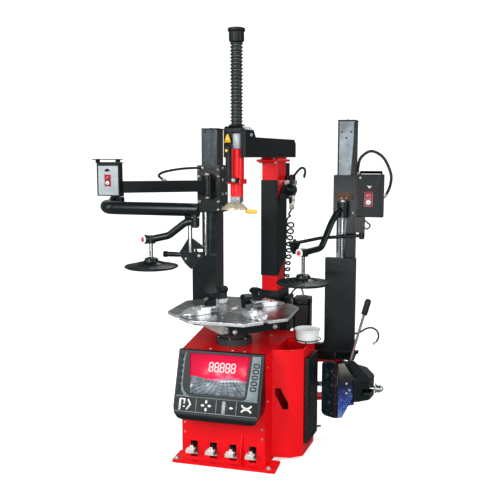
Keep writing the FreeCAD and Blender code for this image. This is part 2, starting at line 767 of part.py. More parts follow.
carriage = cut(fuse(box(-295, -165, 300, 450, 1201, 1458),
                    *hinge_eye(left_pivot_x, left_pivot_y, 30, 1292, 1316),
                    *hinge_eye(left_pivot_x, left_pivot_y, 30, 1380, 1404)),
               box(-277, -183, 318, 432, 1190, 1470))
node("left_carriage", fuse(carriage, cyl(hinge_pin, 116, (left_pivot_x, left_pivot_y, 1290)),
                           cyl(lift_rod_r, 422, (left_lift_x, left_lift_y, 780))))

# hollow link from the pivot to the elbow
link_angle = bearing(elbow_x - left_pivot_x, elbow_y - left_pivot_y)
link_base = (left_pivot_x, left_pivot_y, 0)
link = cut(fuse(turned_box(12, 470, -25, 25, 1318, 1378, link_angle, link_base),
                cyl(28, 60, (left_pivot_x, left_pivot_y, 1318))),
           turned_box(40, 440, -21, 21, 1322, 1374, link_angle, link_base),
           cyl(hinge_pin + 0.08, 100, (left_pivot_x, left_pivot_y, 1300)))
node("left_link", fuse(link, cyl(36, 80, (elbow_x, elbow_y, 1300)),
                       cyl(hinge_pin, 78, (elbow_x, elbow_y, 1224)),
                       box(-650, -610, -40, -20, 1325, 1372)))

left_box = fuse(box(-698, -576, -85, -40, 1306, 1472), box(-704, -570, -88, -36.5, 1472, 1477),
                box(-596, -580, -72, -56, 1477, 1489), box(-722, -572, -88, -40, 1488, 1493))
node("left_control_box", cut(left_box, box(-652.5, -623.5, -90, -76, 1358, 1412)))
node("left_switch", box(-652, -624, -90, -80, 1358.5, 1411.5))

# forearm: bent tube, elbow socket, disc arm joint at its end and tool socket behind it
forearm_path = [(-630, -30, 1261), (-606, -172, 1261), (-545, -272, 1261), (-92, -284, 1261)]
elbow_socket = cut(fuse(cyl(38, 66, (elbow_x, elbow_y, 1230)),
                        cyl(31, 24, (elbow_x, -20, 1261), (0, -1, 0))),
                   cyl(hinge_pin + 0.08, 100, (elbow_x, elbow_y, 1215)))
forearm = fuse(bent(arm_r, forearm_path, 75, arm_r - 4), elbow_socket,
               cyl(31, 6, (-92, -284, 1261), X_AXIS), cyl(22, 62, (joint_x, joint_y, 1228)),
               cyl(10, 48, (joint_x, joint_y, 1182)), cyl(17, 5, (joint_x, joint_y, 1178)),
               box(-172, -146, -264, -225, 1242, 1280), cyl(18, 48, (tool_x, tool_y, 1236)),
               cyl(spindle_r, 42, (tool_x, tool_y, 1196)), cyl(14, 5, (tool_x, tool_y, 1191)))
node("left_forearm", forearm)

left_disc_path = [(joint_x, joint_y, 1206), (-146, -287, 1204), (-232, -293, 1138),
                  (left_disc_x, left_disc_y, 1119)]
disc_arm = fuse(bent(17, left_disc_path, 60), cyl(21, 40, (joint_x, joint_y, 1184)),
                cyl(21.5, 36, (left_disc_x, left_disc_y, 1100)),
                rod(20, (left_disc_x, left_disc_y, 1118), (-349, -302, 1118)))
node("left_disc_arm", cut(disc_arm, cyl(10.08, 60, (joint_x, joint_y, 1175)),
                          cyl(spindle_r + 0.08, 28, (left_disc_x, left_disc_y, 1098))))

left_disc = [(0, 964), (10, 966), (15, 980), (116, 983), (125, 988), (125, 995), (112, 998),
             (62, 1004), (36, 1013), (30, 1030), (spindle_r, 1036), (spindle_r, 1124), (0, 1124)]
node("left_press_disc", turned(left_disc, left_disc_x, left_disc_y))

# tool: hanger, upright bar, lower block and upper hook in (x, z), roller to the left
tool_block = [(-206, 1032), (-194, 1052), (-92, 1052), (-88, 1018), (-130, 1004),
              (-152, 970), (-184, 998)]
tool_hook = [(-168, 1118), (-149, 1118), (-88, 1076), (-88, 1069), (-142, 1066),
             (-142, 1050), (-220, 1024), (-220, 1038)]
tool = fuse(cyl(17, 38, (tool_x, tool_y, 1197.2)), box(-165, -153, -225, -196, 1200, 1214),
            cyl(10.5, 168, (tool_x, -199.5, 1048)), prism("XZ", tool_block, -212, -184),
            prism("XZ", tool_hook, -205, -191), cyl(11, 90, (-196, -199, 1037), (-1, 0, 0)),
            cyl(15, 14, (-280, -199, 1037), (-1, 0, 0)))
node("left_tool_roller", cut(tool, cyl(spindle_r + 0.08, 50, (tool_x, tool_y, 1190))))

# ---------------------------------------------------------------- right helper
right_pivot_x = dim("right_pivot_x", 507)
right_pivot_y = dim("right_pivot_y", 262)
right_disc_x = dim("right_disc_x", 353)
right_disc_y = dim("right_disc_y", 0)
cone_pivot_x = dim("cone_pivot_x", 600)
cone_pivot_y = dim("cone_pivot_y", 325)
cone_pin_r = 8

carriage = cut(fuse(box(452, 576, 300, 458, 1192, 1409), box(576, 582, 300, 318, 1230, 1380),
                    box(562, 614, 310, 340, 1112, 1192),
                    *hinge_eye(right_pivot_x, right_pivot_y, 29, 1252, 1272),
                    *hinge_eye(right_pivot_x, right_pivot_y, 29, 1194, 1212)),
               box(466, 560, 318, 442, 1180, 1420))
node("right_carriage", fuse(carriage, cyl(hinge_pin, 80, (right_pivot_x, right_pivot_y, 1193)),
                            cyl(cone_pin_r, 34, (cone_pivot_x, cone_pivot_y, 1080)),
                            cyl(13, 4, (cone_pivot_x, cone_pivot_y, 1077)),
                            cyl(lift_rod_r, 410, (right_lift_x, right_lift_y, 783))))

right_box = fuse(box(582, 711, 262, 318, 1197, 1415), box(588, 594, 284, 294, 1414, 1432),
                 box(696, 702, 284, 294, 1414, 1432), box(588, 702, 284, 294, 1427, 1432))
node("right_control_box", cut(right_box, box(619.5, 654.5, 255, 272, 1256, 1322)))
node("right_switch", box(620, 654, 256, 267, 1256.5, 1321.5))

right_disc_path = [(right_pivot_x, right_pivot_y, 1232), (488, 220, 1231.5), (462, 168, 1170),
                   (424, 102, 1052), (right_disc_x, right_disc_y, 1039)]
disc_arm = fuse(bent(16, right_disc_path, 50), cyl(27, 39, (right_pivot_x, right_pivot_y, 1212.5)),
                cyl(24, 36, (right_disc_x, right_disc_y, 1022)),
                rod(20, (right_disc_x, right_disc_y, 1040), (338, -26, 1040)))
node("right_disc_arm", cut(disc_arm,
                           cyl(hinge_pin + 0.08, 60, (right_pivot_x, right_pivot_y, 1200)),
                           cyl(spindle_r + 0.08, 28, (right_disc_x, right_disc_y, 1020))))

right_disc = [(0, 864), (10, 866), (15, 880), (122, 883), (132, 888), (132, 896), (118, 899),
              (64, 905), (38, 914), (32, 930), (spindle_r, 936), (spindle_r, 1046), (0, 1046)]
node("right_press_disc", turned(right_disc, right_disc_x, right_disc_y))

cone_path = [(cone_pivot_x, cone_pivot_y, 1096), (403, 200, 1091), (300, 162, 1070)]
cone_arm = fuse(cyl(15, 28, (cone_pivot_x, cone_pivot_y, 1083)), bent(9, cone_path, 40),
                cyl(8, 60, (278, 154, 1026)), rod(9, (305, 164, 1070), (270, 151, 1070)),
                cone(10, 34, 62, (278, 154, 1010)))
node("right_cone_arm", cut(cone_arm,
                           cyl(cone_pin_r + 0.08, 40, (cone_pivot_x, cone_pivot_y, 1078))))

# ---------------------------------------------------------------- bead breaker
breaker_rod_r = dim("breaker_rod_radius", 12.5)
blade_pin_x = dim("blade_pin_x", 586)
blade_pin_y = dim("blade_pin_y", 108)
blade_pin_r = 9

# arm: curved strip in plan, upright bracket in (x, z), plan of the opening for the rod
arm_strip = [(480, 462), (640, 350), (690, 225), (674, 140), (618, 92), (598, 88), (570, 98),
             (574, 124), (592, 132), (622, 170), (640, 225), (600, 315), (455, 408)]
bracket = [(612, 383), (676, 383), (680, 398), (600, 482), (572, 482), (572, 411), (612, 411)]
rod_opening = [(584, 136), (612, 136), (612, 108), (720, 108), (720, 227), (584, 227)]
strip = body("breaker_arm")
pad(strip, "XY", [arm_strip], 275, 385)
swing_arm = fuse(strip, cyl(27, 194, (hinge_x, hinge_y, 197)), prism("XZ", bracket, 104, 112),
                 box(566, 590, 98, 114, 430, 486), rod(6.5, (574, 106, 468), (643, 102, 726)),
                 rod(14, (643, 102, 726), (663, 100, 800)))
node("breaker_arm", cut(swing_arm, cyl(hinge_r + 0.08, 260, (hinge_x, hinge_y, 170)),
                        prism("XY", rod_opening, 304, 336),
                        cyl(blade_pin_r + 0.08, 135, (blade_pin_x, blade_pin_y, 268))))

# blade: two plates that meet at an angle, drawn in (x, z), and two ears in plan
left_plate = [(-1, 222), (-1, 464), (6, 480), (22, 489), (80, 490), (99, 484),
              (99, 208), (80, 202), (24, 202), (7, 208)]
right_plate = [(0, 206), (28, 206), (85, 298), (85, 410), (36, 484), (0, 484)]
blade_ear = [(528, 30), (560, 50), (604, 92), (600, 116), (582, 124), (566, 112), (540, 60)]


def blade_plate(points, x, y, degrees):
    plate_form = prism("XZ", points, 0, 8)
    plate_form.Placement = Placement(Vector(x, y, 0), turn(degrees))
    return plate_form


node("breaker_blade", fuse(blade_plate(left_plate, 441, 70, bearing(86, -45)),
                           blade_plate(right_plate, 527, 25, bearing(69, 50)),
                           prism("XY", blade_ear, 387, 399), prism("XY", blade_ear, 261, 273),
                           cyl(blade_pin_r, 152, (blade_pin_x, blade_pin_y, 255)),
                           cyl(14, 6, (blade_pin_x, blade_pin_y, 399)),
                           cyl(14, 6, (blade_pin_x, blade_pin_y, 255))))

# rod with its piston at the left end and a nut and ball at the right end
node("breaker_rod", fuse(cyl(breaker_rod_r, 784, (-60, breaker_y, breaker_z), X_AXIS),
                         cyl(breaker_cyl_r - 5.5, 22, (-60, breaker_y, breaker_z), X_AXIS),
                         cyl(21, 20, (704, breaker_y, breaker_z), X_AXIS),
                         ball(13, (728, breaker_y, breaker_z))))

# ---------------------------------------------------------------- fixed pins and screws
tilt_pins = in_post_frame(several(cross_bar(tilt_pin_r, 86, tilt_y, tilt_z),
                                  cross_bar(end_pin_r, 28, lower_pin.y, lower_pin.z)))
breaker_pin = fuse(cyl(hinge_r, 250, (hinge_x, hinge_y, 168)), cyl(19, 6, (hinge_x, hinge_y, 412)))
pedal_shaft = cross_bar(pedal_shaft_r, 202, pedal_axis_y, pedal_axis_z)
node("pivot_pins", several(tilt_pins, breaker_pin, pedal_shaft))

# screw heads on the cabinet top, then on its front
top_screws = ((-74, -156), (40, -163), (101, -165), (-150, 180), (150, 180))  # x, y
front_screws = ((-197, 150), (197, 150), (-197, 200), (197, 200))  # x, z
screws = [cyl(7, 5, (x, y, cab_top)) for x, y in top_screws]
screws += [cyl(5, 3, (x, cab_front - 3, z), Y_AXIS) for x, z in front_screws]
node("cover_screws", several(*screws))

# ---------------------------------------------------------------- write the pieces
doc.recompute()
bad = [o.Name + " " + str(o.State) for o in doc.Objects
       if "Invalid" in o.State or "Error" in o.State]
for name, obj in nodes:
    shape = obj.Shape
    if shape.isNull() or not shape.isValid() or not shape.Solids:
        bad.append("shape " + name)
if bad:
    raise RuntimeError("failed objects: " + "; ".join(bad))
os.makedirs("parts", exist_ok=True)
for name, obj in nodes:
    obj.Shape.exportStep("parts/" + name + ".step")
print(len(nodes), "pieces written")
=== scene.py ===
"""Tyre changer: red cabinet with a sloping console, turntable with four jaws, a leaning-free post
carrying the tool arm, two helper masts with press discs, and a bead breaker on the right.

The frame is in metres: +X is right, -Y is the front where the pedals are, +Z is up, and the
turntable axis is x = y = 0. Post and console coordinates are given in millimetres."""
import bpy
import bmesh
import json
from math import atan2, cos, pi, radians, sin
from mathutils import Matrix, Vector
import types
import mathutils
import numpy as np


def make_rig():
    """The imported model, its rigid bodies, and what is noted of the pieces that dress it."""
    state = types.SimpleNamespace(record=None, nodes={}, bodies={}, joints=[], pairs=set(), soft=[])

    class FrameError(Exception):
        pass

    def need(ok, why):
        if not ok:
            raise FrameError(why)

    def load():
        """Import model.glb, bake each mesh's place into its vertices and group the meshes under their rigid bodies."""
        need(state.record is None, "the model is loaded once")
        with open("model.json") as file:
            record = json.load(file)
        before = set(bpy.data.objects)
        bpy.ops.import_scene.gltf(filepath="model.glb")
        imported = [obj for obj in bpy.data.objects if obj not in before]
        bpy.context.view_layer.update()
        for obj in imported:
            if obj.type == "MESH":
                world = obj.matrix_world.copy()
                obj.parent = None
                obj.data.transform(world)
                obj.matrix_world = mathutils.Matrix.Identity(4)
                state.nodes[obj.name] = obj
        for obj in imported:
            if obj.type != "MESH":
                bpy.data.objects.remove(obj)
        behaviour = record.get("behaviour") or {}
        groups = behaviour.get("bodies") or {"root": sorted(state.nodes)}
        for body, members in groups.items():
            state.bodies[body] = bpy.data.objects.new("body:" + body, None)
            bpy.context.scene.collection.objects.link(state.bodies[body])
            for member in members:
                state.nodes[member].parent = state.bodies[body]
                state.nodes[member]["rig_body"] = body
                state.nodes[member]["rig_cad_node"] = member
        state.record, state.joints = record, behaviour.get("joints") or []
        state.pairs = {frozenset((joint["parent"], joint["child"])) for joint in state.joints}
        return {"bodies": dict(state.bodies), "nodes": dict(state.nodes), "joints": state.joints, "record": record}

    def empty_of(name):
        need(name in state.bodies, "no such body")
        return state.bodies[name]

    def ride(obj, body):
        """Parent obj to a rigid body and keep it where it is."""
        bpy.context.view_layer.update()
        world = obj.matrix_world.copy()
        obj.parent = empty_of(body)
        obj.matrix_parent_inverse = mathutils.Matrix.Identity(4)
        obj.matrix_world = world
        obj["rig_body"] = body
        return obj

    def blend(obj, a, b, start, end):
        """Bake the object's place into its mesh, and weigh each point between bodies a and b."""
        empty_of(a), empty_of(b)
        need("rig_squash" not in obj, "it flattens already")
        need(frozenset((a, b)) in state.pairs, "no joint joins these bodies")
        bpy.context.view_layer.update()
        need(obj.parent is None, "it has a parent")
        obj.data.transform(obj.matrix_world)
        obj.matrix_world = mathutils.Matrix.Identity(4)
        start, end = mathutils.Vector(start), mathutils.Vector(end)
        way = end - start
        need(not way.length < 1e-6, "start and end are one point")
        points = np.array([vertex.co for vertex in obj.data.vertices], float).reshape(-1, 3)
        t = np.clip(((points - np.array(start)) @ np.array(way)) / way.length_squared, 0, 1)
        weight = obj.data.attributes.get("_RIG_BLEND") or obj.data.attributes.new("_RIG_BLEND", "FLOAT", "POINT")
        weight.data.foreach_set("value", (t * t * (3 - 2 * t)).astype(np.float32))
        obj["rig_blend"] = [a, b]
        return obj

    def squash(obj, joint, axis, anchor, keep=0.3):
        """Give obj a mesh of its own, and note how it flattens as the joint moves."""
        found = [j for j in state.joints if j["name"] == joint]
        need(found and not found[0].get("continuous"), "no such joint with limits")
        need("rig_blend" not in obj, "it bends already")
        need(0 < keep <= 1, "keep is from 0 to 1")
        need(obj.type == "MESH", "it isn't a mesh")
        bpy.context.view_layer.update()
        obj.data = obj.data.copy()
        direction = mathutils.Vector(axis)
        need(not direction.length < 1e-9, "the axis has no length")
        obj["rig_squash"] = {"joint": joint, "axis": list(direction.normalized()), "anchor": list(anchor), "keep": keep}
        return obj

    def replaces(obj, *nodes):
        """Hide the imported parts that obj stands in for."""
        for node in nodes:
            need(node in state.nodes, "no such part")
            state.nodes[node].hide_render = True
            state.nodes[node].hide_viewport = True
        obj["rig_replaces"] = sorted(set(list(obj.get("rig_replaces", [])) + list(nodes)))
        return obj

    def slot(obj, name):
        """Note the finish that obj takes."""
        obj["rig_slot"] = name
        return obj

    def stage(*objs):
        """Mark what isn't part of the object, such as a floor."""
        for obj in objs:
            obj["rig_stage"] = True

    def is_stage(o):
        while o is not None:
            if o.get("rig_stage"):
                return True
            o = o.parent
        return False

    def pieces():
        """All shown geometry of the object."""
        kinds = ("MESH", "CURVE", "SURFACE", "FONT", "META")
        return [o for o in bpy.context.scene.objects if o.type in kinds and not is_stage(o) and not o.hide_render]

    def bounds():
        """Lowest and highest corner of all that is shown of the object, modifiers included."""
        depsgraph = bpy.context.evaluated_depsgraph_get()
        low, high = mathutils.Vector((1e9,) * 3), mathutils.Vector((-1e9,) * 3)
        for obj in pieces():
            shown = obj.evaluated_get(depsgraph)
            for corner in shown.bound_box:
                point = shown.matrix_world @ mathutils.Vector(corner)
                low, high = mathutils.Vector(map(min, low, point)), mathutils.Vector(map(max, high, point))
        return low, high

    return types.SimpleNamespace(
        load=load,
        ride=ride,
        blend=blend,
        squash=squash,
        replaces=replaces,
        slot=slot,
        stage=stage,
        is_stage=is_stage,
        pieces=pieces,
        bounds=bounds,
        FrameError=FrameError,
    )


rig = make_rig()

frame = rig.load()
CAD_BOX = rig.bounds()
NODES = frame["nodes"]
scene = bpy.context.scene

# ------------------------------------------------------------------ driving dimensions
UP, DOWN = Vector((0, 0, 1)), Vector((0, 0, -1))
FRONT, BACK = Vector((0, -1, 0)), Vector((0, 1, 0))
RIGHT, LEFT = Vector((1, 0, 0)), Vector((-1, 0, 0))

# post frame, mm: origin of the turned frame, and the tool shaft within it
POST_X, POST_Y = 112, 400
POST_ANGLE = radians(-8)
SHAFT_Y = -497

# sloping console face, mm: lower edge, rise and depth
CONSOLE_Y, CONSOLE_Z = -324, 292
CONSOLE_RISE, CONSOLE_DEPTH = 283, 103
CONSOLE_NORMAL = Vector((0, -CONSOLE_RISE, CONSOLE_DEPTH)).normalized()

BELLOWS_LOW, BELLOWS_HIGH, BELLOWS_FOLDS = 1.6475, 2.0366, 24

JAWS = {"jaw_back_right": 45, "jaw_back_left": 135, "jaw_front_left": 225, "jaw_front_right": 315}
TABLE_TOP = 0.740
CYLINDER_OFFSET, CYLINDER_Z = 0.112, 0.680   # clamp cylinders, either side of the table axis

# helper masts: centre x, top z, back y
MASTS = ((-0.230, 1.650, 0.430), (0.513, 1.685, 0.440))
MAST_FRONT = 0.320

BUCKET_X, BUCKET_Y = 0.366, 0.060


# ------------------------------------------------------------------ materials
class Shader:
    """Short forms for adding nodes; an input is either a value or a socket to link."""

    def __init__(self, tree):
        self.tree = tree

    def feed(self, node, inputs):
        for key, value in inputs.items():
            if isinstance(value, bpy.types.NodeSocket):
                self.tree.links.new(value, node.inputs[key])
            else:
                node.inputs[key].default_value = value

    def add(self, kind, output, inputs=None, **settings):
        node = self.tree.nodes.new("ShaderNode" + kind)
        for key, value in settings.items():
            setattr(node, key, value)
        self.feed(node, inputs or {})
        return node.outputs[output]

    def noise(self, vector, scale, detail, roughness=0.5):
        return self.add("TexNoise", "Fac", {"Vector": vector, "Scale": scale, "Detail": detail,
                                            "Roughness": roughness})

    def remap(self, value, start=0.0, end=1.0, low=0.0, high=1.0):
        return self.add("MapRange", "Result", {"Value": value, "From Min": start,
                                               "From Max": end, "To Min": low, "To Max": high})

    def math(self, operation, *values):
        return self.add("Math", "Value", dict(enumerate(values)), operation=operation)

    def cover(self, below, amount, color):
        """Lay a colour over the one below."""
        return self.add("MixRGB", "Color", {"Fac": amount, "Color1": below,
                                            "Color2": (*color, 1)})

    def relief(self, height, strength):
        return self.add("Bump", "Normal", {"Strength": strength, "Distance": 0.001,
                                           "Height": height})


def new_material(name):
    material = bpy.data.materials.new(name)
    material.use_nodes = True
    tree = material.node_tree
    return material, Shader(tree), tree.nodes["Principled BSDF"]


def edge_wear(shader, place, wear):
    """Mask of rub marks: edges found by a bevel normal, broken up by noise."""
    rounded = shader.add("Bevel", "Normal", {"Radius": 0.004}, samples=4)
    flat = shader.add("NewGeometry", "Normal")
    facing = shader.add("VectorMath", "Value", {0: rounded, 1: flat}, operation="DOT_PRODUCT")
    edge = shader.remap(facing, start=0.985, end=0.86)
    patches = shader.remap(shader.noise(place, scale=60, detail=6),
                           start=0.42, end=0.62, high=wear)
    return shader.math("MULTIPLY", patches, edge)


def surface(name, *, color, rough=0.4, metal=0.0, vary=0.12, vary_scale=6.0, grain=350.0,
            bump=0.05, wear=0.0, wear_color=(0.45, 0.45, 0.46), coat=0.0, brushed=None,
            dust=0.0, spec=0.5, speck=0.0):
    """Principled surface.

    vary, vary_scale: depth and scale of the tone variation. grain, bump: scale and strength of
    the fine noise. brushed: stretch of that noise. wear, speck: edge rub and scattered marks,
    both in wear_color. dust: pale cover on upward faces."""
    material, shader, principled = new_material(name)
    place = shader.add("TexCoord", "Object")
    tone = shader.remap(shader.noise(place, scale=vary_scale, detail=5),
                        start=0.3, end=0.7, low=1 - vary, high=1 + vary)
    paint = shader.add("MixRGB", "Color", {"Fac": 1, "Color1": (*color, 1), "Color2": tone},
                       blend_type="MULTIPLY")
    fine_place = place
    if brushed is not None:
        fine_place = shader.add("Mapping", "Vector", {"Vector": place, "Scale": brushed})
    fine = shader.noise(fine_place, scale=grain, detail=3)
    if wear > 0:
        paint = shader.cover(paint, edge_wear(shader, place, wear), wear_color)
    if speck > 0:
        marks = shader.noise(place, scale=42, detail=8, roughness=0.75)
        marks = shader.remap(marks, start=0.54, end=0.66, high=speck)
        paint = shader.cover(paint, marks, wear_color)
    if dust > 0:
        normal = shader.add("NewGeometry", "Normal")
        upward = shader.add("SeparateXYZ", "Z", {"Vector": normal})
        settled = shader.remap(upward, start=0.6, high=dust)
        paint = shader.cover(paint, settled, (0.35, 0.33, 0.31))
    roughness = shader.remap(fine, start=0.3, end=0.7, low=max(0.02, rough - 0.08),
                             high=min(1, rough + 0.1))
    shader.feed(principled, {
        "Metallic": metal, "Specular IOR Level": spec, "Coat Weight": coat,
        "Coat Roughness": 0.12, "Base Color": paint, "Roughness": roughness,
        "Normal": shader.relief(fine, bump)})
    return material


def blade_paint():
    """Blue worn paint: pale at the top, dark in the middle, scuffed blue below."""
    material, shader, principled = new_material("blade_blue")
    place = shader.add("TexCoord", "Object")
    height = shader.add("SeparateXYZ", "Z", {"Vector": place})
    height = shader.remap(height, start=0.206, end=0.484)   # foot and top of the blade
    waver = shader.math("MULTIPLY_ADD", shader.noise(place, scale=22, detail=4), 0.30, -0.15)
    ramp = shader.add("ValToRGB", "Color", {"Fac": shader.math("ADD", height, waver)})
    stops = ramp.node.color_ramp.elements
    stops[0].position, stops[0].color = 0.0, (0.16, 0.24, 0.52, 1)
    stops[1].position, stops[1].color = 1.0, (0.26, 0.25, 0.21, 1)
    for position, color in (
            (0.16, (0.030, 0.075, 0.36, 1)), (0.42, (0.018, 0.040, 0.17, 1)),
            (0.60, (0.006, 0.010, 0.030, 1)), (0.78, (0.030, 0.032, 0.030, 1)),
            (0.92, (0.15, 0.145, 0.125, 1))):
        stops.new(position).color = color
    speckle = shader.noise(place, scale=95, detail=5, roughness=0.7)
    marks = shader.remap(speckle, start=0.56, end=0.66)
    lower = shader.remap(height, start=0.55, end=0.30)
    paint = shader.cover(ramp, shader.math("MULTIPLY", marks, lower), (0.34, 0.46, 0.86))
    # the unlinked base colour is read below as the viewport colour
    principled.inputs["Base Color"].default_value = (0.03, 0.06, 0.2, 1)
    shader.feed(principled, {"Metallic": 0.25, "Roughness": 0.30, "Base Color": paint,
                             "Normal": shader.relief(speckle, 0.15)})
    return material


MATERIALS = {
    "red": surface(
        "red_powder_coat", color=(0.80, 0.0020, 0.0065), rough=0.32, vary=0.08, vary_scale=3.0,
        grain=420, bump=0.06, wear=0.30, wear_color=(0.50, 0.02, 0.03), coat=0.15, spec=0.28),
    "black_steel": surface(
        "black_powder_coat", color=(0.0026, 0.0068, 0.0080), rough=0.29, vary=0.25,
        vary_scale=4.0, grain=380, bump=0.06, wear=0.45, wear_color=(0.06, 0.08, 0.09),
        coat=0.05, spec=0.32),
    "black_plastic": surface(
        "moulded_black_plastic", color=(0.0042, 0.0072, 0.0090), rough=0.36, vary=0.2,
        vary_scale=5.0, grain=900, bump=0.10, wear=0.25, wear_color=(0.05, 0.055, 0.06),
        spec=0.26),
    "panel_black": surface(
        "panel_satin_black", color=(0.003, 0.006, 0.008), rough=0.30, vary=0.1, vary_scale=5.0,
        grain=600, bump=0.02, spec=0.16),
    "blade_black": surface(
        "blade_gloss_black", color=(0.004, 0.009, 0.012), rough=0.16, vary=0.35, vary_scale=9.0,
        grain=300, bump=0.02, coat=0.5, wear=0.7, wear_color=(0.30, 0.36, 0.42), speck=0.20),
    "pedal": surface(
        "pedal_plate", color=(0.74, 0.72, 0.67), rough=0.30, metal=0.35, vary=0.10,
        vary_scale=40.0, grain=400, bump=0.0, wear=0.5, wear_color=(0.30, 0.28, 0.26)),
    "bellows": surface(
        "bellows_vinyl", color=(0.010, 0.016, 0.017), rough=0.30, vary=0.15, vary_scale=20.0,
        grain=260, bump=0.02, spec=0.95),
    "steel": surface(
        "ground_steel", color=(0.58, 0.60, 0.62), rough=0.26, metal=0.85, vary=0.14,
        vary_scale=7.0, grain=1.0, bump=0.008, brushed=(300, 14, 300), wear=0.6,
        wear_color=(0.92, 0.93, 0.95)),
    # the near-white edge wear is rubbed bare steel and also a painted highlight along the rim edges
    "table": surface(
        "turned_table_steel", color=(0.24, 0.255, 0.250), rough=0.26, metal=1.0, vary=0.55,
        vary_scale=4.0, grain=1.0, bump=0.012, brushed=(18, 420, 60), wear=1.0,
        wear_color=(0.95, 0.96, 0.98), speck=0.06),
    "ramp": surface(
        "polished_ramp", color=(0.84, 0.86, 0.90), rough=0.24, metal=0.75, vary_scale=9.0,
        grain=300, bump=0.0, wear=0.4, wear_color=(0.97, 0.97, 0.98)),
    "cast": surface(
        "painted_casting", color=(0.025, 0.028, 0.030), rough=0.55, metal=0.1, vary=0.25,
        vary_scale=9.0, grain=120, bump=0.5, wear=0.4),
    "chrome": surface(
        "chrome_plate", color=(0.58, 0.62, 0.64), rough=0.16, metal=1.0, vary=0.04,
        vary_scale=4.0, grain=200, bump=0.0),
    "alu": surface(
        "extruded_aluminium", color=(0.60, 0.60, 0.56), rough=0.36, metal=0.35, vary=0.14,
        vary_scale=8.0, grain=1.0, bump=0.01, brushed=(8, 300, 300), wear=0.5,
        wear_color=(0.9, 0.9, 0.92)),
    "rubber": surface(
        "black_rubber", color=(0.0055, 0.0080, 0.0085), rough=0.50, vary=0.25, vary_scale=20.0,
        grain=260, bump=0.3, dust=0.004, spec=0.40),
    "white_plastic": surface(
        "white_polythene", color=(0.78, 0.80, 0.80), rough=0.38, vary=0.04, vary_scale=9.0,
        grain=150, bump=0.06, coat=0.1),
    "head_nut": surface(
        "clamp_block", color=(0.50, 0.50, 0.48), rough=0.35, metal=0.5, vary=0.2,
        vary_scale=30.0, grain=200, bump=0.0),
    "brass": surface(
        "bronzed_head", color=(0.52, 0.46, 0.35), rough=0.30, metal=0.55, vary=0.35,
        vary_scale=22.0, grain=160, bump=0.15, wear=0.9, wear_color=(0.88, 0.85, 0.78)),
    "grey_steel": surface(
        "worn_blue_grey_paint", color=(0.055, 0.085, 0.16), rough=0.36, metal=0.35, vary=0.55,
        vary_scale=9.0, grain=90, bump=0.35, wear=0.8, wear_color=(0.42, 0.48, 0.62),
        speck=0.40),
    # mast front faces: one rubbed finish, painted shaded for the left mast and painted lit for the right mast
    "mast_face_painted_shade": surface(
        "rubbed_face_painted_shade", color=(0.016, 0.030, 0.035), rough=0.42, metal=0.3, vary=0.45,
        vary_scale=12.0, grain=1.0, bump=0.30, brushed=(60, 60, 6), wear=0.5,
        wear_color=(0.16, 0.18, 0.20), speck=0.35),
    "mast_face_painted_lit": surface(
        "rubbed_face_painted_light", color=(0.22, 0.26, 0.29), rough=0.45, metal=0.25, vary=0.40,
        vary_scale=14.0, grain=1.0, bump=0.30, brushed=(60, 60, 6), wear=0.5,
        wear_color=(0.08, 0.09, 0.10), speck=0.45),
    "button": surface(
        "yellow_button", color=(0.75, 0.47, 0.01), rough=0.32, vary=0.05, vary_scale=9.0,
        grain=300, coat=0.3),
    "switch": surface(
        "dark_red_switch", color=(0.10, 0.004, 0.02), rough=0.30, vary=0.1, vary_scale=9.0,
        grain=300, coat=0.4),
    "switch_red": surface(
        "red_button", color=(0.65, 0.02, 0.06), rough=0.3, vary=0.05, vary_scale=9.0,
        grain=300, coat=0.4),
    "white_paint": surface(
        "white_print", color=(0.85, 0.86, 0.86), vary=0.04, vary_scale=9.0, grain=300,
        bump=0.03),
    "light_grey": surface(
        "light_grey_face", color=(0.40, 0.45, 0.48), rough=0.34, metal=0.2, vary=0.16,
        vary_scale=10.0, grain=1.0, bump=0.10, brushed=(8, 8, 180)),
    "strip_grey": surface(
        "brushed_grey_strip", color=(0.13, 0.17, 0.185), rough=0.40, metal=0.3, vary=0.40,
        vary_scale=18.0, grain=1.0, bump=0.10, brushed=(200, 12, 12)),
    "line_grey": surface(
        "grey_line", color=(0.10, 0.14, 0.155), metal=0.1, vary=0.2, vary_scale=18.0,
        grain=300),
    "screen_red": surface(
        "red_window", color=(0.80, 0.010, 0.060), rough=0.30, vary=0.08, grain=400, bump=0.02,
        coat=0.1),
    "screen_pink": surface(
        "pink_glow_window", color=(0.72, 0.10, 0.22), rough=0.30, vary=0.45, vary_scale=24.0,
        grain=400, bump=0.02, coat=0.1),
    "tread_grey": surface(
        "printed_tread", color=(0.22, 0.26, 0.30), rough=0.25, vary=0.45, vary_scale=30.0,
        grain=500, bump=0.04, coat=0.6),
    "tread_dark": surface(
        "printed_groove", color=(0.035, 0.05, 0.065), rough=0.25, vary=0.3, vary_scale=30.0,
        grain=500, bump=0.04, coat=0.6),
    "tread_light": surface(
        "printed_highlight", color=(0.62, 0.68, 0.72), rough=0.25, vary=0.3, vary_scale=30.0,
        grain=500, bump=0.04, coat=0.6),
    "ridge": surface(
        "ridge_dark", color=(0.008, 0.014, 0.020), rough=0.45, vary=0.2, vary_scale=30.0,
        grain=500, bump=0.03, spec=0.2),
    "galv": surface(
        "zinc_screw", color=(0.66, 0.66, 0.63), rough=0.30, metal=0.7, vary_scale=60.0,
        grain=500, bump=0.0),
    "rust": surface(
        "rust_tinted_plate", color=(0.085, 0.035, 0.012), rough=0.6, metal=0.2, vary=0.5,
        vary_scale=26.0, grain=200, bump=0.4, wear=0.4),
    "tank": surface(
        "tank_black", color=(0.0050, 0.0075, 0.0085), rough=0.36, vary=0.2, vary_scale=5.0,
        grain=260, bump=0.08, coat=0.1, wear=0.4, wear_color=(0.2, 0.2, 0.2)),
    "blade_blue": blade_paint(),
}
for shown in MATERIALS.values():
    base = shown.node_tree.nodes["Principled BSDF"].inputs["Base Color"]
    shown.diffuse_color = tuple(base.default_value)

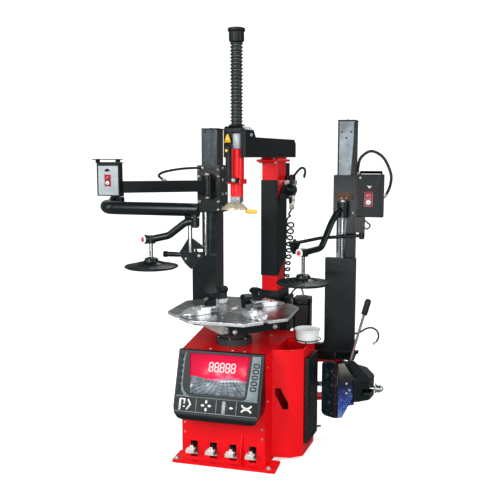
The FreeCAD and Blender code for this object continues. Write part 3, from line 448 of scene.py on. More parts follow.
# ------------------------------------------------------------------ carried-over nodes
SLOT_OF = {part["node"]: part["material_slot"] for part in frame["record"]["subparts"]}

# bevel width by node; the rest take DEFAULT_EDGE
DEFAULT_EDGE = 0.0014
EDGE_WIDTH = {
    "cabinet_frame": 0.0022, "console_panel": 0.004, "turntable_plate": 0.0012,
    "arm_cover": 0.003, "post_tube": 0.004, "tool_box": 0.0008, "left_link": 0.003,
    "helper_masts": 0.003, "clamp_cylinders": 0.003, "rubber_pad": 0.004,
    "grease_bucket": 0.0008, "air_tank": 0.003, "right_control_box": 0.004,
    "left_control_box": 0.002, "right_carriage": 0.0025, "left_carriage": 0.0025,
    "breaker_arm": 0.003, "lift_cylinders": 0.004,
}


def mast_paint(at, facing):
    """Rubbed front faces, with painted light on the right mast and painted shade on the left."""
    if facing.y < -0.9 and at.z > 0.98 and at.y < 0.33:
        return 1 if at.x > 0 else 2
    return 0


def handle_paint(at, facing):
    """Chrome rod with a plastic end, at the front of the breaker arm."""
    if 0.085 < at.y < 0.116:
        if at.x > 0.630 and at.z > 0.7262:
            return 2
        if at.z > 0.487:
            return 1
    return 0


def roller_paint(at, facing):
    """The round bar inside the left tool."""
    from_axis = (at.x + 0.159) ** 2 + (at.y + 0.1995) ** 2
    return 1.060 < at.z < 1.198 and from_axis < 0.0113 ** 2


# node name or prefix: materials, and a rule from face centre and normal to the material index
PAINT = {
    "jaw_": (["steel", "black_steel"], lambda at, facing: at.z > 0.7722),
    "pedal_": (["black_steel", "pedal"], lambda at, facing: at.y < -0.2338),
    # mast front faces above the carriages: painted light on the right mast, painted shade on the left
    "helper_masts": (["black_steel", "mast_face_painted_lit", "mast_face_painted_shade"], mast_paint),
    # the plate's side faces take the bright polished finish, which is also a painted highlight along the rim
    "turntable_plate": (["table", "ramp"], lambda at, facing: abs(facing.z) < 0.6),
    "breaker_arm": (["black_steel", "chrome", "black_plastic"], handle_paint),
    "breaker_blade": (["blade_black", "blade_blue"], lambda at, facing: at.x > 0.5265),
    "left_press_disc": (["black_steel", "chrome"], lambda at, facing: at.z > 1.0365),
    "right_press_disc": (["black_steel", "chrome"], lambda at, facing: at.z > 0.9365),
    "left_carriage": (["black_steel", "chrome"], lambda at, facing: at.z < 1.2005),
    "right_carriage": (["black_steel", "chrome"],
                       lambda at, facing: at.z < 1.1915 and at.x < 0.53),
    "inflator_gun": (["white_plastic", "black_plastic"],
                     lambda at, facing: at.z > 1.296 or at.x < 0.2),
    "left_control_box": (["black_steel"], None),
    "air_tank": (["tank"], None),
    "left_tool_roller": (["black_steel", "chrome"], roller_paint),
    "column_stand": (["black_steel"], None),
    "clamp_rods": (["steel", "black_steel"],
                   lambda at, facing: at.x - at.y > 0.2785 and abs(facing.z) < 0.9),
    "clamp_cylinders": (["alu", "black_steel"], lambda at, facing: at.x - at.y < -0.2785),
    "tool_box": (["red", "black_steel"], lambda at, facing: at.z > 0.5685),
}


def dress(name, node):
    """Give a node its materials, face by face; an unlisted node takes its slot's material."""
    key = next((prefix for prefix in ("jaw_", "pedal_") if name.startswith(prefix)), name)
    materials, choose = PAINT.get(key, ([SLOT_OF[name]], None))
    node.data.materials.clear()
    for material in materials:
        node.data.materials.append(MATERIALS[material])
    for face in node.data.polygons:
        face.material_index = int(choose(face.center, face.normal)) if choose else 0
        face.use_smooth = True


def soften(node, width):
    """Drop imported normals, merge flat faces and bevel the edges."""
    bpy.context.view_layer.objects.active = node
    # guards nodes the operator refuses, such as ones not open to editing
    try:
        bpy.ops.mesh.customdata_custom_splitnormals_clear()
    except Exception:
        pass
    attributes = node.data.attributes
    for name in ("sharp_edge", "sharp_face", "custom_normal"):
        if name in attributes:
            attributes.remove(attributes[name])
    weld = node.modifiers.new("weld", "WELD")
    weld.merge_threshold = 0.00003
    flat = node.modifiers.new("flat", "DECIMATE")
    flat.decimate_type = "DISSOLVE"
    flat.angle_limit = radians(0.6)
    flat.delimit = {"MATERIAL"}
    edge = node.modifiers.new("edge", "BEVEL")
    edge.width = width
    edge.segments = 2
    edge.limit_method = "ANGLE"
    edge.angle_limit = radians(32)
    edge.miter_outer = "MITER_ARC"
    edge.use_clamp_overlap = True
    normals = node.modifiers.new("normals", "WEIGHTED_NORMAL")
    normals.keep_sharp = False
    normals.weight = 80


for node_name, cad_node in NODES.items():
    dress(node_name, cad_node)
    if node_name != "shaft_bellows":
        soften(cad_node, EDGE_WIDTH.get(node_name, DEFAULT_EDGE))


# ------------------------------------------------------------------ places and outlines
def turn(angle, axis="Z"):
    return Matrix.Rotation(angle, 3, axis)


def polar(radius, angle, z=0.0):
    return Vector((radius * cos(angle), radius * sin(angle), z))


POST_TURN = turn(POST_ANGLE)
POST_FRONT, POST_RIGHT = POST_TURN @ FRONT, POST_TURN @ RIGHT


def post(x, y, z):
    """Post frame (mm) to the main frame (m)."""
    return Vector(((POST_X + x * cos(POST_ANGLE) - y * sin(POST_ANGLE)) / 1000,
                   (POST_Y + x * sin(POST_ANGLE) + y * cos(POST_ANGLE)) / 1000, z / 1000))


def console(x, z, lift):
    """Point on the sloping console face (mm), lifted off it."""
    rise = (z - CONSOLE_Z) / CONSOLE_RISE
    place = Vector((x / 1000, (CONSOLE_Y + CONSOLE_DEPTH * rise) / 1000, z / 1000))
    return place + CONSOLE_NORMAL * (lift / 1000)


def rect(x0, x1, z0, z1):
    return [(x0, z0), (x1, z0), (x1, z1), (x0, z1)]


def beside(direction):
    """A flat direction turned a quarter to the left."""
    return Vector((-direction.y, direction.x))


def round_loop(points, radius, steps=5):
    """Flat polygon with rounded corners."""
    loop = []
    for i, point in enumerate(points):
        before, corner = Vector(points[i - 1]), Vector(point)
        after = Vector(points[(i + 1) % len(points)])
        back, ahead = before - corner, after - corner
        cut = min(radius, back.length * 0.45, ahead.length * 0.45)
        start, end = corner + back.normalized() * cut, corner + ahead.normalized() * cut
        for k in range(steps + 1):
            t = k / steps
            loop.append(start * (1 - t) ** 2 + corner * 2 * t * (1 - t) + end * t * t)
    return loop


def smooth_path(points, steps=10):
    """Catmull-Rom curve through points."""
    knots = [Vector(point) for point in points]
    knots = [knots[0] * 2 - knots[1]] + knots + [knots[-1] * 2 - knots[-2]]
    path = []
    for p0, p1, p2, p3 in zip(knots, knots[1:], knots[2:], knots[3:]):
        for k in range(steps):
            t = k / steps
            path.append(0.5 * ((2 * p1) + (p2 - p0) * t + (2 * p0 - 5 * p1 + 4 * p2 - p3) * t * t
                               + (3 * p1 - p0 - 3 * p2 + p3) * t ** 3))
    path.append(knots[-2].copy())
    return path


# ------------------------------------------------------------------ piece builder
class Piece:
    """One mesh under construction; mat is an index into the materials given to finish."""

    def __init__(self):
        self.mesh = bmesh.new()

    def verts(self, points):
        return [self.mesh.verts.new(point) for point in points]

    def face(self, corners, mat=0):
        self.mesh.faces.new(corners).material_index = mat

    def paint(self, made, mat):
        for vert in made["verts"]:
            for face in vert.link_faces:
                face.material_index = mat

    def box(self, center, size, turned=Matrix.Identity(3), mat=0):
        place = Matrix.Translation(Vector(center)) @ turned.to_4x4()
        place = place @ Matrix.Diagonal((*size, 1))
        self.paint(bmesh.ops.create_cube(self.mesh, size=1.0, matrix=place), mat)

    def bar(self, start, axis, radius, end_radius, length, seg=24, mat=0):
        """Round bar that starts at a point and runs along the axis."""
        axis = Vector(axis).normalized()
        aim = UP.rotation_difference(axis).to_matrix().to_4x4()
        place = Matrix.Translation(Vector(start) + axis * length / 2) @ aim
        self.paint(bmesh.ops.create_cone(
            self.mesh, cap_ends=True, segments=seg, radius1=radius, radius2=end_radius,
            depth=length, matrix=place), mat)

    def loft(self, loops):
        """Skin over loops of equal count, capped at both ends."""
        rows = [self.verts(loop) for loop in loops]
        count = len(rows[0])
        for lower, upper in zip(rows, rows[1:]):
            for k in range(count):
                j = (k + 1) % count
                self.face((lower[k], lower[j], upper[j], upper[k]))
        self.face(list(reversed(rows[0])))
        self.face(rows[-1])

    def tube(self, points, radius, seg=12):
        """Swept round tube, on a frame carried along the path."""
        points = [Vector(point) for point in points]
        along = (points[1] - points[0]).normalized()
        side = along.cross(UP if abs(along.z) < 0.9 else RIGHT).normalized()
        loops = []
        for i, point in enumerate(points):
            before, after = points[max(0, i - 1)], points[min(len(points) - 1, i + 1)]
            along = (after - before).normalized()
            side = (side - along * side.dot(along)).normalized()
            other = along.cross(side)
            angles = [2 * pi * k / seg for k in range(seg)]
            loops.append([point + (side * cos(angle) + other * sin(angle)) * radius
                          for angle in angles])
        self.loft(loops)

    def turned(self, profile, center, axis=UP, seg=48, mat=0):
        """Lathe a profile of (radius, height) about the axis."""
        aim = UP.rotation_difference(Vector(axis).normalized()).to_matrix()
        center = Vector(center)
        rows = []
        for radius, height in profile:
            count = 1 if radius < 1e-7 else seg
            radius = 0 if count == 1 else radius
            rows.append(self.verts(center + aim @ polar(radius, 2 * pi * k / seg, height)
                                   for k in range(count)))
        for lower, upper in zip(rows, rows[1:]):
            for k in range(seg):
                j = (k + 1) % seg
                if len(lower) == 1:
                    self.face((lower[0], upper[j], upper[k]), mat)
                elif len(upper) == 1:
                    self.face((lower[k], lower[j], upper[0]), mat)
                else:
                    self.face((lower[k], lower[j], upper[j], upper[k]), mat)

    def plate(self, points, thickness, mat=0):
        """Closed slab from a planar loop and a thickness vector."""
        thickness = Vector(thickness)
        low = self.verts(Vector(point) for point in points)
        high = self.verts(Vector(point) + thickness for point in points)
        self.face(list(reversed(low)), mat)
        self.face(high, mat)
        for i in range(len(low)):
            j = (i + 1) % len(low)
            self.face((low[i], low[j], high[j], high[i]), mat)

    def front_plate(self, points, y, thickness):
        """Upright slab facing the front, from an (x, z) loop."""
        self.plate([(x, y, z) for x, z in points], (0, thickness, 0))

    def border(self, x0, x1, z0, z1, y, depth, rail, stile):
        """Upright rectangular border of four boxes; rail and stile are their widths."""
        for left, right, low, high in ((x0, x1, z0, z0 + rail), (x0, x1, z1 - rail, z1),
                                       (x0, x0 + stile, z0, z1), (x1 - stile, x1, z0, z1)):
            self.box(((left + right) / 2, y, (low + high) / 2),
                     (right - left, depth, high - low))

    def hexbolts(self, points, axis, radius, height, washer=True):
        for point in points:
            start = Vector(point)
            if washer:
                self.bar(start, axis, radius * 1.45, radius * 1.45, 0.0018, 20)
                start = start + axis * 0.0016
            self.bar(start, axis, radius, radius, height, 6)
            self.bar(start + axis * height * 0.9, axis, radius * 0.8, radius * 0.55,
                     height * 0.22, 12)

    def capscrews(self, points, axis, radius, height):
        profile = [(0, 0), (radius, 0), (radius, height * 0.8), (radius * 0.86, height),
                   (radius * 0.52, height), (radius * 0.5, height * 0.35), (0, height * 0.3)]
        for point in points:
            self.turned(profile, point, axis, 18)

    def console_plate(self, points, low, high, mat=0):
        """Slab on the console face, between two lifts."""
        self.plate([console(x, z, low) for x, z in points],
                   CONSOLE_NORMAL * ((high - low) / 1000), mat)

    def console_band(self, side, other_side, low, high, mat=0):
        self.console_plate(side + list(reversed(other_side)), low, high, mat)

    def console_ring(self, outer, inner, low, high):
        """Flat ring between two console loops with the same number of points."""
        rows = [self.verts(console(x, z, lift) for x, z in loop)
                for loop, lift in ((outer, low), (outer, high), (inner, high), (inner, low))]
        for i in range(len(outer)):
            j = (i + 1) % len(outer)
            for one, two in zip(rows, rows[1:] + rows[:1]):
                self.face((one[i], one[j], two[j], two[i]))

    def stroke(self, points, width, high=1.9, mat=0):
        """Thick line on the console along (x, z) points."""
        points = [Vector(point) for point in points]
        last = len(points) - 1
        left, right = [], []
        for i, point in enumerate(points):
            before, after = points[max(0, i - 1)], points[min(last, i + 1)]
            offset = beside((after - before).normalized()) * width / 2
            if 0 < i < last:
                bend = (point - before).normalized().dot((after - point).normalized())
                offset = offset / max(0.5, (1 + bend) / 2) ** 0.5
            left.append(point + offset)
            right.append(point - offset)
        self.console_band(left, right, 1.1, high, mat)

    def finish(self, name, materials, body, slot, bevel=0.0, subsurf=0):
        """Make the object, tie it to its moving body and record its slot."""
        bmesh.ops.recalc_face_normals(self.mesh, faces=self.mesh.faces)
        data = bpy.data.meshes.new(name)
        self.mesh.to_mesh(data)
        self.mesh.free()
        made = bpy.data.objects.new(name, data)
        scene.collection.objects.link(made)
        for material in materials:
            data.materials.append(MATERIALS[material])
        for face in data.polygons:
            face.use_smooth = True
        if bevel > 0:
            edge = made.modifiers.new("edge", "BEVEL")
            edge.width = bevel
            edge.segments = 2
            edge.limit_method = "ANGLE"
            edge.angle_limit = radians(35)
            made.modifiers.new("normals", "WEIGHTED_NORMAL").weight = 80
        if subsurf:
            smooth = made.modifiers.new("sub", "SUBSURF")
            smooth.levels = smooth.render_levels = subsurf
        if body:
            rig.ride(made, body)
        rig.slot(made, slot)
        return made


# ------------------------------------------------------------------ console face (mm)
def window(across, up):
    """Position 0..1 in the screen window to console (x, z)."""
    left, right = -138 - 18 * up, 135 + 13 * up
    return left + (right - left) * across, 383 + (562 - 383) * up


def hill(across):
    """Upper edge of the picture in the window."""
    return 0.40 - 0.02 * across + 0.035 * sin(across * 9 + 1)


def console_field():
    piece = Piece()
    piece.console_plate(round_loop(rect(-206, 203, 298, 569), 12), 0.05, 1.2)
    piece.finish("console_overlay", ["panel_black"], "frame", "black_plastic", bevel=0.0004)

    # line down the left and along the bottom, then the strip on the right
    piece = Piece()
    piece.console_plate(
        [(-172, 566), (-178, 530), (-178, 418), (-168, 392), (-148, 376), (196, 376), (200, 366),
         (-206, 366), (-206, 370), (-166, 372), (-180, 392), (-187, 420), (-187, 530),
         (-176, 566)], 1.1, 1.7)
    piece.console_plate([(157, 566), (200, 566), (197, 376), (140, 376), (142, 384), (151, 470)],
                        1.1, 1.8, 1)
    piece.finish("console_trim", ["line_grey", "strip_grey"], "frame", "grey_steel",
                 bevel=0.0003)


def screen():
    outer = round_loop([(-168, 572), (158, 572), (143, 370), (-150, 370)], 22, 6)
    inner = round_loop([window(0, 1), window(1, 1), window(1, 0), window(0, 0)], 7, 6)
    piece = Piece()
    piece.console_ring(outer, inner, 1.5, 6.0)
    piece.finish("screen_bezel", ["black_plastic"], "frame", "black_plastic", bevel=0.001)

    piece = Piece()
    piece.console_plate([window(0, 0), window(1, 0), window(1, 1), window(0, 1)], 1.1, 2.2)
    piece.finish("screen_window", ["screen_red"], "frame", "red")

    # grey hill with a pink band along its top
    piece = Piece()
    top = [window(k / 24, hill(k / 24)) for k in range(25)]
    piece.console_band([window(0, 0), window(1, 0)], top, 2.1, 2.5)
    lower, upper = [], []
    for k in range(17):
        across = 0.3 + 0.7 * k / 16
        lower.append(window(across, hill(across) - 0.01))
        swell = 0.015 + 0.05 * sin(pi * k / 16) + 0.012 * sin(k * 2.1)
        upper.append(window(across, hill(across) + swell))
    piece.console_band(lower, upper, 2.15, 2.3, 1)
    piece.finish("screen_picture", ["tread_grey", "screen_pink"], "frame", "grey_steel")


def tread_lines():
    piece = Piece()
    # grooves that fan out downwards
    for k in range(15):
        start, end = 0.16 + 0.055 * k, -0.50 + 0.135 * k
        left, right = [], []
        for step in range(9):
            t = step / 8
            up = 0.385 * (1 - t)
            across = start + (end - start) * t ** 1.35
            half = 0.004 + (0.010 if k in (4, 6) else 0.0045) * t
            if 0.0 < across - half and across + half < 1.0 and up < hill(across) - 0.01:
                left.append(window(across - half, up))
                right.append(window(across + half, up))
        if len(left) > 2:
            piece.console_band(left, right, 2.4, 2.75)
    # rising bands: count, steps, (left end, width), (height, pitch), (rise, power), thickness
    for count, steps, (start, width), (base_up, pitch), (rise, power), thick in (
            (4, 12, (0.52, 0.46), (0.30, -0.075), (0.10, 2), 0.010),
            (3, 10, (0.04, 0.26), (0.05, 0.085), (0.12, 1.2), 0.012)):
        for k in range(count):
            lower, upper = [], []
            for step in range(steps + 1):
                t = step / steps
                up = base_up + pitch * k + rise * t ** power
                lower.append(window(start + width * t, up))
                upper.append(window(start + width * t, up + thick))
            piece.console_band(lower, upper, 2.4, 2.7)
    # two pale patches
    for patch in (
            ((0.50, 0.30), (0.58, 0.335), (0.72, 0.35), (0.86, 0.345), (0.93, 0.36),
             (0.86, 0.40), (0.70, 0.395), (0.56, 0.37)),
            ((0.02, 0.12), (0.06, 0.22), (0.03, 0.24), (0.01, 0.16))):
        piece.console_plate([window(*point) for point in patch], 2.4, 2.65, 1)
    piece.finish("screen_tread_lines", ["tread_dark", "tread_light"], "frame", "black_plastic")


def digits():
    """Seven-segment readout of five digits, every segment lit."""
    piece = Piece()

    def segment(x0, z0, x1, z1, half):
        start, end = Vector((x0, z0)), Vector((x1, z1))
        along = (end - start).normalized()
        offset = beside(along) * half
        near, far = start + along * half, end - along * half
        piece.console_plate([start, near + offset, far + offset, end, far - offset,
                             near - offset], 2.1, 2.9)

    width = 17.5
    levels = ((487, 0, 2.6), (506, 1, 2.4), (525, 2, 2.6))   # z, lean to the right, half width
    for k in range(5):
        left = -52 + 27.5 * k
        for z, lean, half in levels:
            segment(left + lean, z, left + width + lean, z, half)
        for (z0, lean0, _), (z1, lean1, _) in zip(levels, levels[1:]):
            for x in (left, left + width):
                segment(x + lean0, z0, x + lean1, z1, 2.6)
    piece.finish("screen_digits", ["white_paint"], "frame", "white_plastic")


def console_keys():
    # five oval keys on the right strip
    piece = Piece()
    half_wide, half_high = 15.5, 10.5
    for k in range(5):
        x, z = 181 - 2.2 * k, 524 - 25.5 * k
        outer, inner = [], []
        for step in range(28):
            angle = 2 * pi * step / 28
            reach = max(-1, min(1, 1.35 * cos(angle))) * (0.9 + 0.1 * abs(cos(angle)))
            outer.append((x + half_wide * reach, z + half_high * sin(angle)))
            inner.append((x + (half_wide - 4.5) * reach, z + (half_high - 5.2) * sin(angle)))
        piece.console_ring(outer, inner, 1.5, 3.4)
        piece.console_plate(inner, 1.7, 2.6, 1)
    piece.finish("console_keys_right", ["panel_black", "strip_grey"], "frame", "black_plastic",
                 bevel=0.0004)

    # column of ridges on the left
    piece = Piece()
    for k in range(6):
        z = 545 - 27 * k
        lower_right = -186 if k in (0, 5) else -184
        piece.console_plate(round_loop(
            [(-203, z - 8), (lower_right, z - 8), (-183, z + 8), (-203, z + 8)], 5, 4), 1.1, 5.0)
    piece.console_plate(round_loop([(-203, 376), (-190, 378), (-187, 398), (-203, 398)], 5, 4),
                        1.1, 4.0)
    piece.finish("console_keys_left", ["ridge"], "frame", "black_plastic", bevel=0.0016)


def icon_row():
    """Four tiles with thin dividers and plain pictograms."""
    piece = Piece()
    for x in (-100, 0, 99):
        piece.console_plate(rect(x - 1.0, x + 1.0, 302, 364), 1.1, 1.6)
    piece.console_plate(rect(-204, 201, 301, 303), 1.1, 1.6)
    piece.finish("console_dividers", ["light_grey"], "frame", "grey_steel")

    piece = Piece()
    piece.stroke([(-186, 309), (-180, 310), (-180, 356), (-158, 355), (-160, 334)], 7.5)
    piece.stroke([(-164, 323), (-155, 323)], 6)
    piece.stroke([(-142, 356), (-128, 335), (-146, 310)], 7.5)
    # four petals: distance out, distance to the side
    petal = ((7, 0), (12, 5), (20, 6), (27, 0), (20, -6), (12, -5))
    for k in range(4):
        out = Vector((cos(pi / 2 * k), sin(pi / 2 * k)))
        side = beside(out)
        points = [Vector((-50, 334)) + out * far + side * wide for far, wide in petal]
        piece.console_plate(round_loop(points, 4, 3), 1.1, 1.9)
    piece.console_plate(round_loop(rect(28, 45, 305, 361), 7, 4), 1.1, 1.9, 1)
    piece.console_plate(round_loop([(62, 333), (74, 327), (86, 333), (74, 339)], 3, 3), 1.1, 1.9)
    piece.stroke([(49, 346), (60, 333), (49, 320)], 1.8, 1.8, 2)
    for start, center_z, radius_x, radius_z in ((pi, 363, 27, 26), (0, 307, 27, 26)):
        angles = [start + pi * (0.16 + 0.68 * step / 12) for step in range(13)]
        piece.stroke([(148 + radius_x * cos(angle), center_z + radius_z * sin(angle))
                      for angle in angles], 8)
    piece.finish("console_pictograms", ["white_paint", "light_grey", "line_grey"], "frame",
                 "white_plastic")


# ------------------------------------------------------------------ tool shaft and arm
def bellows():
    """Folded bellows round the tool shaft, squashed as the shaft lifts."""
    pitch = (BELLOWS_HIGH - BELLOWS_LOW) / BELLOWS_FOLDS
    # one fold: radius, share of the pitch
    fold = ((0.0253, 0.04), (0.0253, 0.26), (0.0310, 0.46), (0.0322, 0.54), (0.0310, 0.62),
            (0.0253, 0.82))
    profile = [(0.0250, BELLOWS_LOW)]
    for k in range(BELLOWS_FOLDS):
        profile += [(radius, BELLOWS_LOW + pitch * k + pitch * share) for radius, share in fold]
    profile += [(0.0253, BELLOWS_HIGH), (0.0249, BELLOWS_HIGH), (0.0249, BELLOWS_LOW)]
    center = post(0, SHAFT_Y, 0)
    piece = Piece()
    piece.turned(profile, center, seg=40)
    folds = piece.finish("bellows_folds", ["bellows"], None, "rubber")
    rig.ride(folds, "arm")
    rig.squash(folds, "shaft_lift", axis=(0, 0, 1), anchor=(center.x, center.y, BELLOWS_LOW),
              keep=0.132)
    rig.replaces(folds, "shaft_bellows")

    piece = Piece()
    piece.turned([(0.0312, 0), (0.038, 0), (0.038, 0.006), (0.0335, 0.0075), (0.0312, 0.0075),
                  (0.0312, 0)], post(0, SHAFT_Y, 1647), seg=40)
    piece.finish("bellows_foot_ring", ["black_steel"], "arm", "black_steel")

    # upright ribs round the shaft cap
    piece = Piece()
    for k in range(16):
        angle = 2 * pi * k / 16
        place = post(0, SHAFT_Y, 2041) + polar(0.0352, angle)
        piece.box(place + Vector((0, 0, 0.020)), (0.0020, 0.0034, 0.040), turn(angle))
    piece.finish("cap_details", ["black_plastic"], "tool_shaft", "black_plastic", bevel=0.0003)


def arm_nose():
    piece = Piece()
    piece.turned([(0, 0), (0.0235, 0), (0.0250, 0.002), (0.0250, 0.068), (0.0230, 0.071),
                  (0, 0.071)], post(12, -511, 1541.5))
    piece.finish("arm_window_roller", ["light_grey"], "arm", "grey_steel")

    piece = Piece()
    piece.capscrews([post(x, -540, 1627) for x in (-38, 38)], POST_FRONT, 0.0045, 0.0035)
    for y in (-380, -200, -20, 140):
        for side in (1, -1):
            piece.capscrews([post(58 * side, y, 1516)], POST_RIGHT * side, 0.0045, 0.003)
    piece.finish("arm_cover_screws", ["black_steel"], "arm", "black_steel")

    piece = Piece()
    piece.plate([post(x, -540.2, z) for x, z in
                 ((-46, 1570), (-10, 1570), (-24, 1610), (-32, 1610))], POST_FRONT * 0.0012)
    piece.finish("arm_plain_patch", ["button"], "arm", "button")

    piece = Piece()
    piece.plate([post(58.1, y, z) for y, z in rect(-470, -440, 1600, 1614)],
                POST_RIGHT * 0.0006)
    piece.finish("arm_plain_plate", ["light_grey"], "arm", "grey_steel")


def post_details():
    # bolts under and on the arm guide
    piece = Piece()
    piece.hexbolts([post(x, y, 1476) for x in (-43, 43) for y in (-98, -78)], DOWN,
                   0.006, 0.006)
    piece.hexbolts([post(x, -94, 1490) for x in (-34, 34)], UP, 0.0055, 0.004)
    piece.finish("guide_bolts", ["galv"], "post", "steel")

    piece = Piece()
    piece.capscrews([post(x, -71, z) for z in (890, 1120, 1350) for x in (-38, 38)],
                    POST_FRONT, 0.005, 0.0028)
    piece.capscrews([post(51, y, z) for y, z in ((-45, 900), (48, 975), (48, 1360), (-45, 1270))],
                    POST_RIGHT, 0.005, 0.0028)
    piece.finish("post_cover_screws", ["black_steel"], "post", "black_steel")

    piece = Piece()
    for z in (906, 1336):
        piece.box(post(0, -72.0, z), (0.080, 0.0022, 0.004), POST_TURN)
    for x in (-41, 41):
        piece.box(post(x, -72.0, 1121), (0.0035, 0.0022, 0.44), POST_TURN)
    piece.finish("post_cover_ribs", ["black_plastic"], "post", "black_plastic", bevel=0.0006)

    piece = Piece()
    for side in (-1, 1):
        piece.turned([(0, 0), (0.017, 0), (0.017, 0.004), (0.014, 0.006), (0, 0.006)],
                     post(86 * side, 55, 700), POST_RIGHT * side, 28)
    piece.finish("tilt_pin_caps", ["galv"], "frame", "steel")


def shaft_details():
    piece = Piece()
    piece.capscrews([post(x, -533, z) for z in (1382, 1390) for x in (-32, 32)], POST_FRONT,
                    0.0032, 0.004)
    piece.hexbolts([post(18, -578, 1394)], POST_FRONT, 0.0075, 0.006)
    piece.finish("sleeve_screws", ["galv"], "tool_shaft", "steel")

    piece = Piece()
    for z in (1406, 1414, 1508):
        piece.turned([(0.0143, 0), (0.0155, 0.0012), (0.0155, 0.0028), (0.0143, 0.004),
                      (0.0143, 0)], post(-12, -566, z), seg=28)
    piece.finish("handle_grip_rings", ["rubber"], "tool_shaft", "rubber")


def mount_head():
    """Duck-bill casting lofted about the shaft, with a yellow insert on its right."""
    outline = ((-79, -517), (-62, -531), (-40, -533), (-12, -531), (14, -526), (34, -516),
               (48, -500), (52, -484), (44, -468), (26, -460), (6, -459), (-14, -466),
               (-34, -480), (-52, -496), (-72, -507))   # post x, y
    # z, scale of the outline, lift of the left tip
    levels = ((1248.5, 0.92, -1), (1250, 0.99, -1), (1254, 1.0, -2), (1259, 0.95, -4),
              (1265, 0.86, -5), (1273, 0.74, -3), (1280, 0.61, -1), (1285, 0.50, 0),
              (1286, 0.46, 0))
    mid_x = -4

    def level_point(x, y, z, scale, lift):
        raised = lift * (-(x - mid_x) / 75.0) if x < mid_x else 0
        return post(mid_x + (x - mid_x) * scale, SHAFT_Y + (y - SHAFT_Y) * scale, z + raised)

    piece = Piece()
    piece.loft([[level_point(x, y, *level) for x, y in outline] for level in levels])
    head = piece.finish("mount_head_casting", ["brass"], "tool_shaft", "brass", subsurf=2)
    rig.replaces(head, "mount_head")

    insert = ((42, -500), (58, -512), (74, -509), (88, -500), (107, -495), (107, -490),
              (88, -486), (70, -478), (54, -477), (44, -488))   # post x, y
    mid_x, mid_y = 70, -493
    piece = Piece()
    piece.loft([[post(mid_x + (x - mid_x) * scale, mid_y + (y - mid_y) * scale, z)
                 for x, y in insert]
                for z, scale in ((1233, 0.80), (1236, 1.0), (1250, 1.0), (1254, 0.80))])
    piece.finish("mount_head_insert", ["button"], "tool_shaft", "button", subsurf=1)


# ------------------------------------------------------------------ turntable and clamps
def turntable():
    piece = Piece()
    piece.capscrews([polar(radius, pi / 2 * k, TABLE_TOP) for k in range(4)
                     for radius in (0.055, 0.20)], UP, 0.006, 0.0025)
    piece.turned([(0, 0), (0.021, 0), (0.0225, 0.002), (0.0225, 0.004), (0.012, 0.0065),
                  (0, 0.0065)], (0, 0, TABLE_TOP), seg=36)
    piece.finish("table_screws", ["galv"], "turntable", "steel")

    piece = Piece()
    for k in range(8):
        angle = radians(22.5) + pi / 4 * k
        piece.box(polar(0.205, angle, 0.7205), (0.15, 0.008, 0.009), turn(angle))
    piece.finish("table_ribs", ["table"], "turntable", "steel", bevel=0.001)


def jaws():
    """Bolts and gripping teeth; each jaw is laid out along +X and turned into place."""
    for name, degrees in JAWS.items():
        turned = turn(radians(degrees))
        piece = Piece()
        piece.hexbolts([turned @ Vector((0.213, y, 0.762)) for y in (-0.027, 0.027)], UP,
                       0.0062, 0.005)
        piece.capscrews([turned @ Vector((0.182, 0, 0.772))], UP, 0.007, 0.005)
        piece.finish(name + "_bolts", ["galv"], name, "steel")

        piece = Piece()
        for k in range(6):
            piece.box(turned @ Vector((0.1352 + 0.0012 * k, 0, 0.808 + 0.0024 * k)),
                      (0.004, 0.040, 0.0012), turned)
        for k in range(5):
            piece.box(turned @ Vector((0.1455, -0.016 + 0.008 * k, 0.831)),
                      (0.003, 0.003, 0.008), turned)
        for side in (-1, 1):
            piece.box(turned @ Vector((0.128, 0.0165 * side, 0.785)), (0.03, 0.008, 0.024),
                      turned)
        piece.finish(name + "_teeth", ["black_steel"], name, "black_steel", bevel=0.0004)


def clamp_cylinders():
    """Two cylinders under the table, lying along a line turned 45 degrees clockwise."""
    turned = turn(radians(-45))
    along = turned @ RIGHT

    def place(x, side, y=0.0, z=0.0):
        return turned @ Vector((x, CYLINDER_OFFSET * side + y, CYLINDER_Z + z))

    piece = Piece()
    piece.capscrews([place(0.125, side, y, z) for side in (-1, 1) for y in (-0.021, 0.021)
                     for z in (-0.021, 0.021)], along, 0.0045, 0.005)
    piece.finish("cylinder_bolts", ["galv"], "jaw_back_left", "steel")

    piece = Piece()
    for side in (-1, 1):
        for x, length in ((-0.1815, 0.009), (0.098, 0.022)):
            piece.box(place(x, side), (length, 0.0585, 0.0585), turned)
        for y, z, size_y, size_z in ((0.0277, 0, 0.003, 0.0585), (-0.0277, 0, 0.003, 0.0585),
                                     (0, 0.0277, 0.0585, 0.003), (0, -0.0277, 0.0585, 0.003)):
            piece.box(place(-0.172, side, y, z), (0.014, size_y, size_z), turned)
    piece.finish("cylinder_heads", ["alu"], "jaw_back_left", "alu", bevel=0.002)

    piece = Piece()
    piece.hexbolts([place(0.213, side) for side in (-1, 1)], along, 0.009, 0.007)
    piece.finish("rod_nuts", ["galv"], "jaw_front_right", "steel")

    piece = Piece()
    for side in (-1, 1):
        piece.hexbolts([place(-0.213, side)], -along, 0.009, 0.007)
        piece.bar(turned @ Vector((-0.17, 0.084 * side, 0.652)), DOWN, 0.006, 0.005, 0.012, 6)
        start = turned @ Vector((-0.17, 0.084 * side, 0.641))
        path = [start, start + Vector((0, 0, -0.010))]
        path += [turned @ Vector((x, y * side, z)) for x, y, z in
                 ((-0.152, 0.088, 0.6275), (-0.140, 0.096, 0.6275), (-0.126, 0.100, 0.634),
                  (-0.122, 0.101, 0.648))]
        piece.tube(smooth_path(path, 8), 0.0032, 10)
    piece.finish("cylinder_fittings", ["black_plastic"], "jaw_back_left", "black_plastic")


